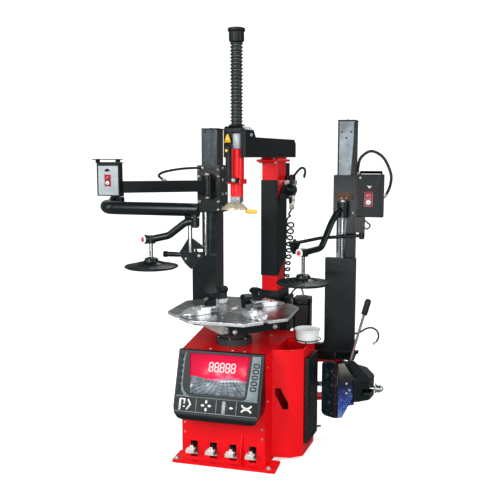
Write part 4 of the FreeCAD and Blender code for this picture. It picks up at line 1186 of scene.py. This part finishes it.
def pedals():
    for i, name in enumerate(("tilt", "clamp", "breaker", "turn")):
        piece = Piece()
        for k in range(5):
            piece.box((-0.150 + 0.1 * i, -0.2385 - 0.0055 * k, 0.0885),
                      (0.034, 0.0022, 0.0014))
        piece.finish("pedal_%s_tread" % name, ["steel"], "pedal_" + name, "steel",
                     bevel=0.0004)


# ------------------------------------------------------------------ cabinet
LEFT_WALL = Vector((-0.9956, 0.0937, 0))   # outward normals of the flared side walls
RIGHT_WALL = Vector((0.9956, 0.0937, 0))


def wall_point(y, z, side=-1, out=0.0):
    """Point on a side wall; the cabinet widens to the back."""
    half_width = 0.212 + 0.048 * (y + 0.200) / 0.510 + out
    return Vector((side * half_width, y, z))


def cabinet():
    piece = Piece()
    corners = rect(-0.16, 0.27, 0.07, 0.53)   # y, z of the door outline
    for corner, following in zip(corners, corners[1:] + corners[:1]):
        start, end = wall_point(*corner, out=0.0002), wall_point(*following, out=0.0002)
        half = (end - start).normalized().cross(LEFT_WALL) * 0.0016
        piece.plate([start - half, end - half, end + half, start + half], LEFT_WALL * 0.0009)
    piece.finish("side_door_seam", ["black_steel"], "frame", "black_steel")

    piece = Piece()
    half = Vector((0, 0, 0.0045))
    for k in range(8):
        start, end = wall_point(0.02, 0.14 + 0.018 * k), wall_point(0.13, 0.14 + 0.018 * k)
        piece.plate([start - half, end - half, end + half, start + half], LEFT_WALL * 0.0026)
    piece.finish("side_vent_louvres", ["red"], "frame", "red", bevel=0.0012)

    piece = Piece()
    piece.capscrews([wall_point(y, z) for z in (0.09, 0.51) for y in (-0.14, 0.25)], LEFT_WALL,
                    0.006, 0.003)
    piece.capscrews([wall_point(-0.165, z, 1) for z in (0.50, 0.33)], RIGHT_WALL, 0.004, 0.003)
    piece.capscrews([(x, 0.3102, z) for x, z in
                     ((-0.2, 0.1), (-0.2, 0.3), (-0.2, 0.5), (0.2, 0.1))], BACK, 0.006, 0.003)
    piece.finish("cabinet_screws_small", ["galv"], "frame", "steel")

    piece = Piece()
    for x in (-0.235, 0.235):
        for y in (-0.222, 0.330):
            piece.hexbolts([(x, y, 0.016)], UP, 0.0095, 0.008)
            piece.bar((x, y, 0.0), UP, 0.0055, 0.0055, 0.022, 12)
    piece.finish("anchor_bolts", ["galv"], "frame", "steel")

    piece = Piece()
    for side in (-1, 1):
        piece.front_plate(rect(side * 0.2085, side * 0.2115, 0.03, 0.248), -0.2001, -0.0012)
    piece.front_plate([(-0.209, 0.556), (0.209, 0.556), (0.2085, 0.562), (-0.2085, 0.562)],
                      -0.2, -0.0008)
    piece.finish("cabinet_edge_beads", ["red"], "frame", "red", bevel=0.0004)

    piece = Piece()
    piece.hexbolts([polar(0.081, radians(30 + 60 * k), 0.600) for k in range(6)], UP,
                   0.0052, 0.0042, washer=False)
    piece.finish("flange_bolts", ["galv"], "frame", "steel")


def tool_box():
    piece = Piece()
    radius = 0.0032
    rim = [Vector((x, y, 0.568)) for x, y in
           ((0.2225, -0.0945), (0.310, -0.085), (0.368, -0.044), (0.387, 0.156),
            (0.2457, 0.156))]
    for start, end in zip(rim, rim[1:]):
        piece.tube([start, end], radius)
    for corner in rim[1:-1]:
        piece.turned([(0, -radius), (0.0023, -0.0023), (radius, 0), (0.0023, 0.0023),
                      (0, radius)], corner, seg=12)
    piece.finish("tool_box_rim", ["red"], "frame", "red")

    # tube round the slot in the slanting front of the box
    piece = Piece()
    left_end, right_end = 221.92, 310   # x of the front panel, mm
    loop = []
    for x, z in ((238, 374), (262, 374), (300, 300), (300, 272), (276, 272), (238, 344)):
        y = (-95 + 10 * (x - left_end) / (right_end - left_end)) / 1000 - 0.0002
        loop.append(Vector((x / 1000, y, z / 1000)))
    for start, end in zip(loop, loop[1:] + loop[:1]):
        piece.tube([start, end], 0.0022, 10)
    piece.finish("slot_edging", ["rubber"], "frame", "rubber")


def rubber_pad():
    piece = Piece()
    turned = turn(radians(-5.4269))
    foot = Vector((0.36935, -0.030, 0)) + turned @ Vector((0.0226, 0.090, 0))
    for k in range(13):
        piece.box(foot + Vector((0, 0, 0.105 + 0.032 * k)), (0.003, 0.160, 0.014), turned)
    piece.finish("rubber_pad_ribs", ["rubber"], "frame", "rubber", bevel=0.0012)


def bucket():
    piece = Piece()
    # hoops: radius, z, tube radius, segments
    for radius, z, thick, seg in ((0.0635, 0.6455, 0.0026, 10), (0.0592, 0.630, 0.0012, 8),
                                  (0.0581, 0.619, 0.0012, 8)):
        center = Vector((BUCKET_X, BUCKET_Y, z))
        piece.tube([center + polar(radius, 2 * pi * k / 48) for k in range(49)], thick, seg)
    piece.finish("bucket_rim", ["white_plastic"], "bucket", "white_plastic")


def ramps():
    """Polished plates that ride with the jaws and fall away outwards."""
    stations = ((0.150, 0.041, 0.7635), (0.222, 0.048, 0.7635), (0.262, 0.040, 0.7520),
                (0.291, 0.013, 0.7440))   # distance out, half width, top z
    for name, degrees in JAWS.items():
        turned = turn(radians(degrees))
        outline = [turned @ Vector((x, -y, z)) for x, y, z in stations]
        outline += [turned @ Vector((x, y, z)) for x, y, z in reversed(stations)]
        piece = Piece()
        top = piece.verts(outline)
        low = piece.verts((point.x, point.y, 0.7412) for point in outline)
        count = len(top)
        for k in range(3):
            piece.face((top[k], top[k + 1], top[count - 2 - k], top[count - 1 - k]))
            piece.face((low[k], low[count - 1 - k], low[count - 2 - k], low[k + 1]))
        for k in range(count):
            j = (k + 1) % count
            piece.face((top[k], low[k], low[j], top[j]))
        piece.finish(name + "_ramp", ["ramp"], name, "steel", bevel=0.003)


# ------------------------------------------------------------------ helper masts
def masts():
    piece = Piece()
    for x, top, back in MASTS:
        piece.box((x, (MAST_FRONT + back) / 2, top + 0.0035),
                  (0.094, back - MAST_FRONT + 0.004, 0.007))
        piece.capscrews([(x, y, top + 0.007) for y in (MAST_FRONT + 0.03, back - 0.03)], UP,
                        0.006, 0.003)
    piece.finish("mast_caps", ["black_plastic"], "frame", "black_plastic", bevel=0.0015)

    # strips down both front edges of each mast
    piece = Piece()
    low = 1.0
    for x, top, _ in MASTS:
        high = top - 0.005
        for side in (-1, 1):
            piece.box((x + 0.041 * side, 0.3192, (high + low) / 2), (0.008, 0.0016, high - low))
    piece.finish("mast_edge_strips", ["black_steel"], "frame", "black_steel", bevel=0.0005)

    piece = Piece()
    piece.capscrews([(x, 0.3198, z) for x, z in ((0.489, 1.63), (0.537, 1.63), (0.512, 1.60),
                                                 (-0.252, 1.6385), (-0.208, 1.6385))],
                    FRONT, 0.0045, 0.0025)
    piece.finish("mast_stop_screws", ["black_steel"], "frame", "black_steel")


def left_carriage():
    piece = Piece()
    piece.hexbolts([(x, 0.300, z) for x in (-0.284, -0.176)
                    for z in (1.218, 1.262, 1.398, 1.436)], FRONT, 0.0055, 0.005)
    piece.hexbolts([(-0.165, y, z) for z in (1.225, 1.300, 1.375, 1.44)
                    for y in (0.345, 0.405)], RIGHT, 0.006, 0.005)
    piece.hexbolts([(-0.225, 0.262, 1.406)], UP, 0.013, 0.008)
    piece.hexbolts([(-0.225, 0.262, 1.290)], DOWN, 0.013, 0.008)
    piece.finish("left_carriage_bolts", ["galv"], "left_carriage", "steel")

    piece = Piece()
    piece.box((-0.230, 0.2985, 1.4440), (0.124, 0.003, 0.020))
    piece.box((-0.230, 0.2985, 1.2100), (0.124, 0.003, 0.016))
    piece.box((-0.188, 0.2975, 1.348), (0.034, 0.005, 0.052))
    piece.finish("left_carriage_plates", ["black_steel"], "left_carriage", "black_steel",
                 bevel=0.001)


def right_carriage():
    piece = Piece()
    for x, z in ((0.468, 1.386), (0.552, 1.386), (0.468, 1.215), (0.560, 1.215)):
        piece.turned([(0, 0), (0.0085, 0), (0.0085, 0.003), (0.0055, 0.004), (0.005, 0.0015),
                      (0, 0.0015)], (x, 0.300, z), FRONT, 24)
    piece.hexbolts([(0.507, 0.262, 1.2735)], UP, 0.013, 0.008)
    piece.hexbolts([(0.507, 0.262, 1.193)], DOWN, 0.013, 0.008)
    piece.hexbolts([(x, 0.300, 1.290) for x in (0.495, 0.521)], FRONT, 0.0045, 0.004)
    piece.capscrews([(0.594, 0.262, 1.398)], FRONT, 0.005, 0.003)
    piece.finish("right_carriage_bolts", ["galv"], "right_carriage", "steel")

    piece = Piece()
    piece.box((0.514, 0.2975, 1.362), (0.118, 0.005, 0.086))
    piece.box((0.464, 0.2975, 1.256), (0.020, 0.005, 0.124))
    piece.box((0.566, 0.2975, 1.256), (0.016, 0.005, 0.124))
    piece.finish("right_carriage_plates", ["black_steel"], "right_carriage", "black_steel",
                 bevel=0.001)

    piece = Piece()
    piece.box((0.512, 0.2978, 1.300), (0.096, 0.0044, 0.040))
    piece.finish("right_carriage_label_plate", ["rust"], "right_carriage", "black_steel",
                 bevel=0.0008)


# ------------------------------------------------------------------ control boxes
def switches():
    """Red button above, white below, each with a small triangle pointing away."""
    # name, centre x, y, z, button radius, button offset
    for name, x, y, z, radius, offset in (
            ("left", -0.638, -0.0900, 1.385, 0.0095, 0.0125),
            ("right", 0.637, 0.2560, 1.289, 0.0110, 0.0155)):
        body = name + "_switch"
        piece = Piece()
        for mat, side in enumerate((1, -1)):
            piece.turned([(0, 0), (radius, 0), (radius, 0.0012), (radius * 0.85, 0.0022),
                          (0, 0.0028)], (x, y, z + offset * side), FRONT, 28, mat)
        piece.finish(body + "_buttons", ["switch_red", "white_paint"], body, "switch")

        piece = Piece()
        for side in (1, -1):
            middle = z + offset * side
            piece.front_plate([(x - 0.0045, middle - 0.002 * side),
                               (x + 0.0045, middle - 0.002 * side),
                               (x, middle + 0.0045 * side)], y - 0.0028, -0.0006)
        piece.finish(body + "_marks", ["switch"], body, "switch")


def left_box_front():
    piece = Piece()
    piece.front_plate(rect(-0.690, -0.581, 1.311, 1.458), -0.0852, -0.0012)
    piece.finish("left_box_face", ["light_grey"], "left_link", "grey_steel", bevel=0.0004)

    piece = Piece()
    piece.border(-0.6555, -0.6205, 1.355, 1.415, y=-0.0870, depth=0.002, rail=0.004,
                 stile=0.0035)
    piece.finish("left_switch_frame", ["switch_red"], "left_link", "switch", bevel=0.0004)


def left_box_trim():
    piece = Piece()
    piece.front_plate([(-0.655, 1.431), (-0.643, 1.429), (-0.628, 1.431), (-0.623, 1.437),
                       (-0.633, 1.440), (-0.639, 1.445), (-0.649, 1.441)], -0.0866, -0.0006)
    piece.finish("left_box_mark", ["panel_black"], "left_link", "black_plastic")

    piece = Piece()
    piece.front_plate(rect(-0.698, -0.691, 1.306, 1.472), -0.0865, 0.003)
    for x in (-0.702, -0.592, -0.588):
        piece.box((x, -0.064, 1.4825), (0.004, 0.044, 0.011))
    piece.tube([(-0.628, -0.060, 1.306), (-0.628, -0.058, 1.286)], 0.006)
    piece.hexbolts([(-0.600, -0.062, 1.306)], DOWN, 0.005, 0.006)
    piece.finish("left_box_hood", ["black_steel"], "left_link", "black_steel", bevel=0.0008)


def right_box():
    piece = Piece()
    piece.border(0.6155, 0.6585, 1.2515, 1.3265, y=0.2608, depth=0.0026, rail=0.0026,
                 stile=0.0026)
    piece.finish("right_switch_frame", ["switch_red"], "right_carriage", "switch", bevel=0.0005)

    piece = Piece()
    piece.front_plate([(0.629, 1.358), (0.640, 1.343), (0.652, 1.357), (0.645, 1.357),
                       (0.640, 1.352), (0.635, 1.358)], 0.2617, -0.0007)
    piece.finish("right_box_arrow", ["white_paint"], "right_carriage", "white_plastic")

    piece = Piece()
    piece.box((0.698, 0.2605, 1.306), (0.004, 0.003, 0.196))
    piece.box((0.646, 0.2608, 1.4080), (0.118, 0.0024, 0.005))
    piece.capscrews([(x, 0.262, z) for x, z in ((0.590, 1.205), (0.703, 1.205), (0.703, 1.407))],
                    FRONT, 0.004, 0.0025)
    piece.finish("right_box_trim", ["ridge"], "right_carriage", "black_steel", bevel=0.0006)


# ------------------------------------------------------------------ hoses
def hose(name, radius, body, points, steps=10, ends=True):
    piece = Piece()
    path = smooth_path(points, steps)
    piece.tube(path, radius)
    if ends:
        for end, inner in ((path[0], path[1]), (path[-1], path[-2])):
            inward = (inner - end).normalized()
            piece.bar(end - inward * 0.002, inward, radius * 1.5, radius * 1.45, 0.014, 6, 1)
            piece.bar(end + inward * 0.012, inward, radius * 1.25, radius * 1.2, 0.007, 16, 1)
    return piece.finish(name, ["rubber", "galv"], body, "rubber")


def hoses():
    link_hose = hose("left_hose", 0.0064, None, [
        (-0.262, 0.300, 1.440), (-0.262, 0.292, 1.4425), (-0.305, 0.262, 1.4435),
        (-0.362, 0.190, 1.438), (-0.420, 0.132, 1.424), (-0.442, 0.112, 1.407),
        (-0.430, 0.120, 1.390), (-0.416, 0.138, 1.378)], steps=12)
    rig.blend(link_hose, "left_carriage", "left_link", start=(-0.255, 0.285, 1.44),
             end=(-0.36, 0.18, 1.44))
    hose("right_hose_loop", 0.0074, "right_carriage", [
        (0.570, 0.360, 1.405), (0.571, 0.358, 1.450), (0.586, 0.350, 1.500),
        (0.638, 0.342, 1.532), (0.700, 0.338, 1.500), (0.740, 0.336, 1.420),
        (0.740, 0.325, 1.360), (0.722, 0.305, 1.312), (0.709, 0.295, 1.302)], steps=12)
    hose("right_low_hose", 0.004, "right_carriage", [
        (0.598, 0.318, 1.255), (0.612, 0.330, 1.180), (0.640, 0.345, 1.150),
        (0.624, 0.350, 1.128), (0.606, 0.340, 1.140)])
    hose("breaker_hose", 0.0050, "frame", [
        (0.562, 0.352, 0.560), (0.596, 0.344, 0.573), (0.630, 0.340, 0.596),
        (0.662, 0.338, 0.604), (0.690, 0.338, 0.588), (0.698, 0.338, 0.558),
        (0.688, 0.338, 0.532), (0.672, 0.338, 0.518)])
    hose("tank_hose", 0.0045, "frame", [
        (0.274, 0.420, 0.742), (0.274, 0.420, 0.762), (0.262, 0.400, 0.790),
        (0.232, 0.380, 0.780), (0.214, 0.362, 0.740), (0.210, 0.350, 0.660),
        (0.214, 0.340, 0.590), (0.220, 0.331, 0.50)])
    hose("left_lift_hose", 0.0042, "frame", [
        (-0.300, 0.300, 0.962), (-0.300, 0.300, 0.985), (-0.318, 0.330, 0.990),
        (-0.330, 0.372, 0.950), (-0.322, 0.400, 0.860), (-0.300, 0.410, 0.700),
        (-0.296, 0.405, 0.560), (-0.262, 0.360, 0.440), (-0.240, 0.318, 0.400)])
    hose("power_cable", 0.005, "frame", [
        (0.16, 0.309, 0.16), (0.165, 0.335, 0.15), (0.20, 0.375, 0.06), (0.235, 0.42, 0.0085),
        (0.27, 0.455, 0.0075), (0.30, 0.455, 0.0075), (0.33, 0.43, 0.0075),
        (0.36, 0.40, 0.0075), (0.385, 0.41, 0.0075)], ends=False)


# ------------------------------------------------------------------ inflator on the post
def coil_hose():
    """Coil hanging beside the post, narrowing downwards, with a lead at each end."""
    turns, steps = 9, 26
    coil = []
    for k in range(turns * steps + 1):
        angle = 2 * pi * k / steps + pi / 2
        t = k / (turns * steps)
        radius = (20.5 - 7.0 * t) / 1000
        coil.append(Vector((
            0.2150 - 0.0200 * t + radius * cos(angle),
            0.3496 + 0.2 * radius * cos(angle) + 0.0055 * sin(angle * 0.5 + 0.6),
            1.166 - 0.312 * t + radius * 1.05 * sin(angle))))
    first, last = coil[0], coil[-1]
    lead_in = smooth_path([post(118, -40, 1249), post(119, -42, 1228),
                           first + Vector((-0.010, 0.003, 0.010)), first], 8)
    lead_out = smooth_path([last, last + Vector((-0.012, 0.004, -0.004)), post(66, 30, 846)], 6)
    piece = Piece()
    piece.tube(lead_in[:-1] + coil + lead_out[1:], 0.0046, 10)
    piece.finish("inflator_coil_hose", ["rubber"], "post", "rubber")


def inflator():
    piece = Piece()
    piece.tube(smooth_path([post(*point) for point in (
        (118, -40, 1392), (132, -46, 1404), (158, -55, 1432), (180, -60, 1446),
        (196, -62, 1438), (198, -62, 1420), (192, -62, 1402))]), 0.0062)
    piece.bar(post(199, -62, 1418), POST_TURN @ Vector((-0.25, 0, -1)), 0.0065, 0.0052, 0.026,
              14)
    piece.finish("inflator_nozzle_hose", ["rubber"], "post", "rubber")

    # dial with raised rim, eleven ticks and a needle
    piece = Piece()
    piece.turned([(0, 0), (0.030, 0), (0.033, 0.002), (0.033, 0.006), (0.028, 0.0045),
                  (0, 0.0045)], post(118, -75, 1330), POST_FRONT, 40)
    piece.turned([(0, 0), (0.0278, 0), (0.0278, 0.0006), (0, 0.0006)], post(118, -79.4, 1330),
                 POST_FRONT, 40, 1)
    for k in range(11):
        angle = radians(-135 + 27 * k)
        piece.box(post(118 + 22 * sin(angle), -80.1, 1330 + 22 * cos(angle)),
                  (0.0016, 0.0008, 0.005), POST_TURN @ turn(angle, "Y"))
    piece.box(post(112, -80.6, 1336), (0.0016, 0.0008, 0.024),
              POST_TURN @ turn(radians(-45), "Y"), 2)
    piece.finish("inflator_dial", ["black_plastic", "panel_black", "line_grey"], "post",
                 "black_plastic")

    piece = Piece()
    piece.turned([(0, 0), (0.011, 0), (0.013, 0.004), (0.013, 0.020), (0.009, 0.026),
                  (0, 0.026)], post(118, -40, 1224), seg=24)
    piece.turned([(0.0155, 0), (0.0172, 0.002), (0.0172, 0.010), (0.0155, 0.012), (0.0155, 0)],
                 post(118, -40, 1268), seg=28)
    piece.finish("inflator_fitting", ["brass"], "post", "brass")


def air_service_unit():
    """Two bowls with knobs above, joined by a block, at the right of the post."""
    piece = Piece()
    for x in (64, 94.6):
        piece.turned([(0, 0), (0.012, 0), (0.015, 0.006), (0.015, 0.062), (0, 0.062)],
                     post(x, 45, 1290), seg=28, mat=1)
        piece.turned([(0, 0), (0.011, 0), (0.0125, 0.003), (0.0125, 0.024), (0.009, 0.028),
                      (0, 0.028)], post(x, 45, 1376), seg=24, mat=2)
    piece.box(post(79, 45, 1364), (0.066, 0.030, 0.026), POST_TURN)
    piece.finish("air_service_unit", ["galv", "light_grey", "black_plastic"], "post", "steel",
                 bevel=0.0012)


# ------------------------------------------------------------------ press discs and tool roller
def disc_arms():
    left_axis = Vector((-0.62, -0.78, 0))
    piece = Piece()
    piece.turned([(0, -0.0222), (0.012, -0.0187), (0.0200, -0.0096), (0.0222, 0),
                  (0.0215, 0.0055), (0.0196, 0.0104), (0, 0.0104)], (-0.345, -0.302, 1.118),
                 left_axis, 36)
    piece.finish("left_arm_end_round", ["black_steel"], "left_disc_arm", "black_steel")

    for name, center, axis in (("left", (-0.3511, -0.3097, 1.118), left_axis),
                               ("right", (0.338, -0.026, 1.040), Vector((-0.5, -0.866, 0)))):
        axis = axis.normalized()
        piece = Piece()
        piece.turned([(0, 0), (0.0215, 0), (0.0215, 0.003), (0.019, 0.0055), (0.0120, 0.0055),
                      (0.0118, 0.0040), (0, 0.0040)], center, axis, 36)
        piece.turned([(0, 0), (0.0112, 0), (0.0112, 0.0035), (0.008, 0.005), (0, 0.005)],
                     Vector(center) + axis * 0.0038, axis, 30, 1)
        piece.finish(name + "_arm_end_cap", ["white_paint", "switch_red"], name + "_disc_arm",
                     "white_plastic")


def disc_ribs():
    for name, center, radius in (("left", Vector((-0.318, -0.300, 0.964)), 0.125),
                                 ("right", Vector((0.353, 0.0, 0.864)), 0.132)):
        piece = Piece()
        for k in range(3):
            inner, z = radius * (0.80 - 0.16 * k), 0.0325 + 0.004 * k
            piece.turned([(inner, z), (inner + 0.0012, z + 0.0018), (inner + 0.0040, z + 0.0018),
                          (inner + 0.0052, z - 0.0006), (inner, z)], center, seg=64)
        inner, outer = radius - 0.001, radius + 0.0012
        piece.turned([(inner, 0.0238), (outer, 0.0252), (outer, 0.0300), (inner, 0.0312),
                      (inner, 0.0238)], center, seg=72)
        for k in range(6):
            angle = pi / 3 * k
            piece.box(center + polar(0.050, angle, 0.0445), (0.036, 0.005, 0.008),
                      turn(angle) @ turn(radians(14), "Y"))
        piece.finish(name + "_disc_ribs", ["black_plastic"], name + "_disc", "black_plastic")


def tool_roller():
    piece = Piece()
    for k in range(5):
        piece.turned([(0.0111, 0), (0.0128, 0.002), (0.0128, 0.006), (0.0111, 0.008),
                      (0.0111, 0)], (-0.226 - 0.0110 * k, -0.199, 1.037), LEFT, 28)
    piece.finish("tool_roller_rings", ["rubber"], "left_tool", "rubber")

    piece = Piece()
    piece.hexbolts([(-0.112, -0.212, 1.036)], FRONT, 0.0055, 0.005)
    piece.hexbolts([(-0.160, -0.205, 1.088)], FRONT, 0.0050, 0.004)
    piece.capscrews([(-0.178, -0.212, 1.020)], FRONT, 0.005, 0.003)
    piece.finish("tool_roller_bolts", ["galv"], "left_tool", "steel")


# ------------------------------------------------------------------ bead breaker and air tank
def breaker_blade():
    piece = Piece()
    turned = turn(atan2(50, 69))   # right half of the folded blade
    piece.capscrews([Vector((0.527, 0.025, 0)) + turned @ Vector((x, -0.0001, z))
                     for x, z in ((0.050, 0.330), (0.050, 0.380), (0.066, 0.345))],
                    turned @ FRONT, 0.006, 0.003)
    piece.finish("blade_screws", ["galv"], "breaker_blade", "steel")

    piece = Piece()
    piece.tube([(0.5262, 0.0246, 0.210), (0.5262, 0.0246, 0.480)], 0.0042)
    turned = turn(atan2(-45, 86))   # left half
    for z in (0.24, 0.44):
        piece.box(Vector((0.441, 0.070, 0)) + turned @ Vector((0.048, 0.012, z)),
                  (0.080, 0.008, 0.010), turned)
    piece.finish("blade_fold_weld", ["black_steel"], "breaker_blade", "black_steel")


def breaker_arm():
    piece = Piece()
    for x in (0.697, 0.700):
        piece.bar((x, 0.2, 0.320), RIGHT, 0.026, 0.026, 0.0025, 28)
    piece.hexbolts([(0.724, 0.2, 0.320)], RIGHT, 0.016, 0.010, washer=False)
    piece.finish("breaker_rod_nut", ["galv"], "breaker_rod", "steel")

    piece = Piece()
    piece.hexbolts([(0.47, 0.43, 0.418)], UP, 0.014, 0.008)
    piece.finish("breaker_hinge_bolt", ["galv"], "frame", "steel")

    piece = Piece()
    foot = Vector((0.643, 0.102, 0.727))
    axis = Vector((0.663, 0.100, 0.800)) - foot
    length = axis.length
    piece.turned([(0.0138, 0), (0.0156, 0.003), (0.0150, 0.012), (0.0160, 0.026),
                  (0.0151, 0.042), (0.0160, 0.058), (0.0152, 0.070), (0.010, length + 0.004),
                  (0, length + 0.0055)], foot, axis, 32)
    piece.turned([(0, -0.001), (0.0138, 0)], foot, axis, 32)
    # join the end cone to the grip
    bmesh.ops.remove_doubles(piece.mesh, verts=piece.mesh.verts, dist=0.00001)
    piece.finish("breaker_handle_grip", ["rubber"], "breaker_arm", "rubber")

    piece = Piece()
    corners = ((0.480, 0.455), (0.636, 0.347), (0.686, 0.224), (0.671, 0.142))   # x, y
    for z in (0.288, 0.374):
        for start, end in zip(corners, corners[1:]):
            piece.tube([(*start, z), (*end, z)], 0.006, 10)
    piece.finish("breaker_arm_welds", ["black_steel"], "breaker_arm", "black_steel")


def tank_bands():
    piece = Piece()
    outline = ((238, 374), (310, 374), (320, 384), (320, 456), (310, 466), (238, 466),
               (228, 456), (228, 384))   # x, y of the tank, mm
    mid_x, mid_y, scale = 274, 420, 1.018
    for z in (0.560, 0.700):
        piece.plate([((mid_x + (x - mid_x) * scale) / 1000, (mid_y + (y - mid_y) * scale) / 1000,
                      z) for x, y in outline], (0, 0, 0.016))
    piece.finish("tank_bands", ["black_steel"], "frame", "black_steel")


def carriage_front_bolts():
    piece = Piece()
    for x, z in ((0.4687, 1.3878), (0.5594, 1.3885), (0.468, 1.215), (0.560, 1.215)):
        piece.turned([(0, 0), (0.0085, 0), (0.0085, 0.0012), (0.0058, 0.0016), (0.0058, 0.0045),
                      (0.0035, 0.0045), (0.0032, 0.0025), (0, 0.0025)], (x, 0.2996, z), FRONT,
                     24)
    piece.finish("right_carriage_front_bolts", ["galv"], "right_carriage", "steel")


for build in (console_field, screen, tread_lines, digits, console_keys, icon_row, bellows,
              arm_nose, post_details, shaft_details, mount_head, turntable, jaws,
              clamp_cylinders, pedals, cabinet, tool_box, rubber_pad, bucket, ramps, masts,
              left_carriage, right_carriage, left_box_front, switches, left_box_trim, right_box,
              hoses, coil_hose, inflator, air_service_unit, disc_arms, disc_ribs, tool_roller,
              breaker_blade, breaker_arm, tank_bands, carriage_front_bolts):
    build()


# ------------------------------------------------------------------ stage, light, camera
def floor_material():
    """Pale and faintly glowing to the camera, mid grey to every other ray."""
    material, shader, principled = new_material("studio_floor")
    seen = shader.add("LightPath", "Is Camera Ray")
    color = shader.add("MixRGB", "Color", {"Fac": seen, "Color1": (0.22, 0.22, 0.22, 1),
                                           "Color2": (0.92, 0.92, 0.915, 1)})
    shader.feed(principled, {
        "Roughness": 0.7, "Specular IOR Level": 0.1, "Base Color": color,
        "Emission Color": (1, 1, 1, 1), "Emission Strength": shader.math("MULTIPLY", seen, 0.55)})
    return material


def studio():
    """Floor that sweeps up into a back wall."""
    profile = ((-9.0, 0.0), (3.2, 0.0), (4.0, 0.12), (4.6, 0.6), (4.9, 1.6), (5.0, 6.0))   # y, z
    sheet = bmesh.new()
    rows = [[sheet.verts.new((x, y, z - 0.0005)) for x in (-9, 9)] for y, z in profile]
    for near, far in zip(rows, rows[1:]):
        sheet.faces.new((near[0], near[1], far[1], far[0]))
    data = bpy.data.meshes.new("studio")
    sheet.to_mesh(data)
    sheet.free()
    for face in data.polygons:
        face.use_smooth = True
    data.materials.append(floor_material())
    backdrop = bpy.data.objects.new("studio", data)
    backdrop.rotation_euler = (0, 0, radians(15))
    scene.collection.objects.link(backdrop)
    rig.stage(backdrop)


def white_world():
    """Full white to the camera, dim to reflections, medium to the rest."""
    world = bpy.data.worlds.new("soft_white")
    scene.world = world
    world.use_nodes = True
    shader = Shader(world.node_tree)
    shader.add("LightPath", "Is Camera Ray")
    rays = world.node_tree.nodes["Light Path"].outputs
    lighting = shader.add("Mix", 0, {0: rays["Is Glossy Ray"], 2: 0.55, 3: 0.10},
                          data_type="FLOAT")
    strength = shader.add("Mix", 0, {0: rays["Is Camera Ray"], 2: lighting, 3: 1.0},
                          data_type="FLOAT")
    shader.feed(world.node_tree.nodes["Background"],
                {"Color": (1.0, 1.0, 1.0, 1), "Strength": strength})


def lamp(name, place, target, size, power):
    light = bpy.data.lights.new(name, "AREA")
    light.shape = "RECTANGLE"
    light.size, light.size_y = size
    light.energy = power
    made = bpy.data.objects.new(name, light)
    made.location = place
    aim = Vector(target) - Vector(place)
    made.rotation_euler = aim.to_track_quat("-Z", "Y").to_euler()
    scene.collection.objects.link(made)


def camera():
    lens = bpy.data.cameras.new("camera")
    lens.sensor_width = 36
    lens.lens = 50.98
    made = bpy.data.objects.new("camera", lens)
    made.location = (0.985, -3.374, 1.504)
    made.rotation_euler = (radians(90 - 7.51), 0, radians(14.96))   # 7.51 degrees down
    scene.collection.objects.link(made)
    scene.camera = made


studio()
white_world()
lamp("key", place=(-1.5, -4.0, 2.7), target=(0, 0, 0.95), size=(0.9, 2.2), power=105)
lamp("side", place=(-3.6, -1.8, 2.2), target=(0, 0, 1.0), size=(0.6, 2.6), power=36)
lamp("front", place=(1.75, -4.1, 2.3), target=(0, 0, 0.95), size=(0.45, 2.4), power=48)
lamp("fill", place=(3.8, -1.2, 2.2), target=(0.1, 0, 0.9), size=(0.6, 2.6), power=45)
lamp("strip", place=(0.4, -3.9, 0.9), target=(0.2, 0, 0.8), size=(2.6, 0.4), power=30)
lamp("back", place=(0.0, 3.0, 3.2), target=(0, 0, 1.0), size=(3.0, 1.0), power=60)
camera()
scene.view_settings.view_transform = "Standard"
scene.view_settings.exposure = 0.0

VISUAL_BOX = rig.bounds()
with open("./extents.json", "w") as f:
    json.dump({"cad": [list(map(float, v)) for v in CAD_BOX],
               "visual": [list(map(float, v)) for v in VISUAL_BOX]}, f)
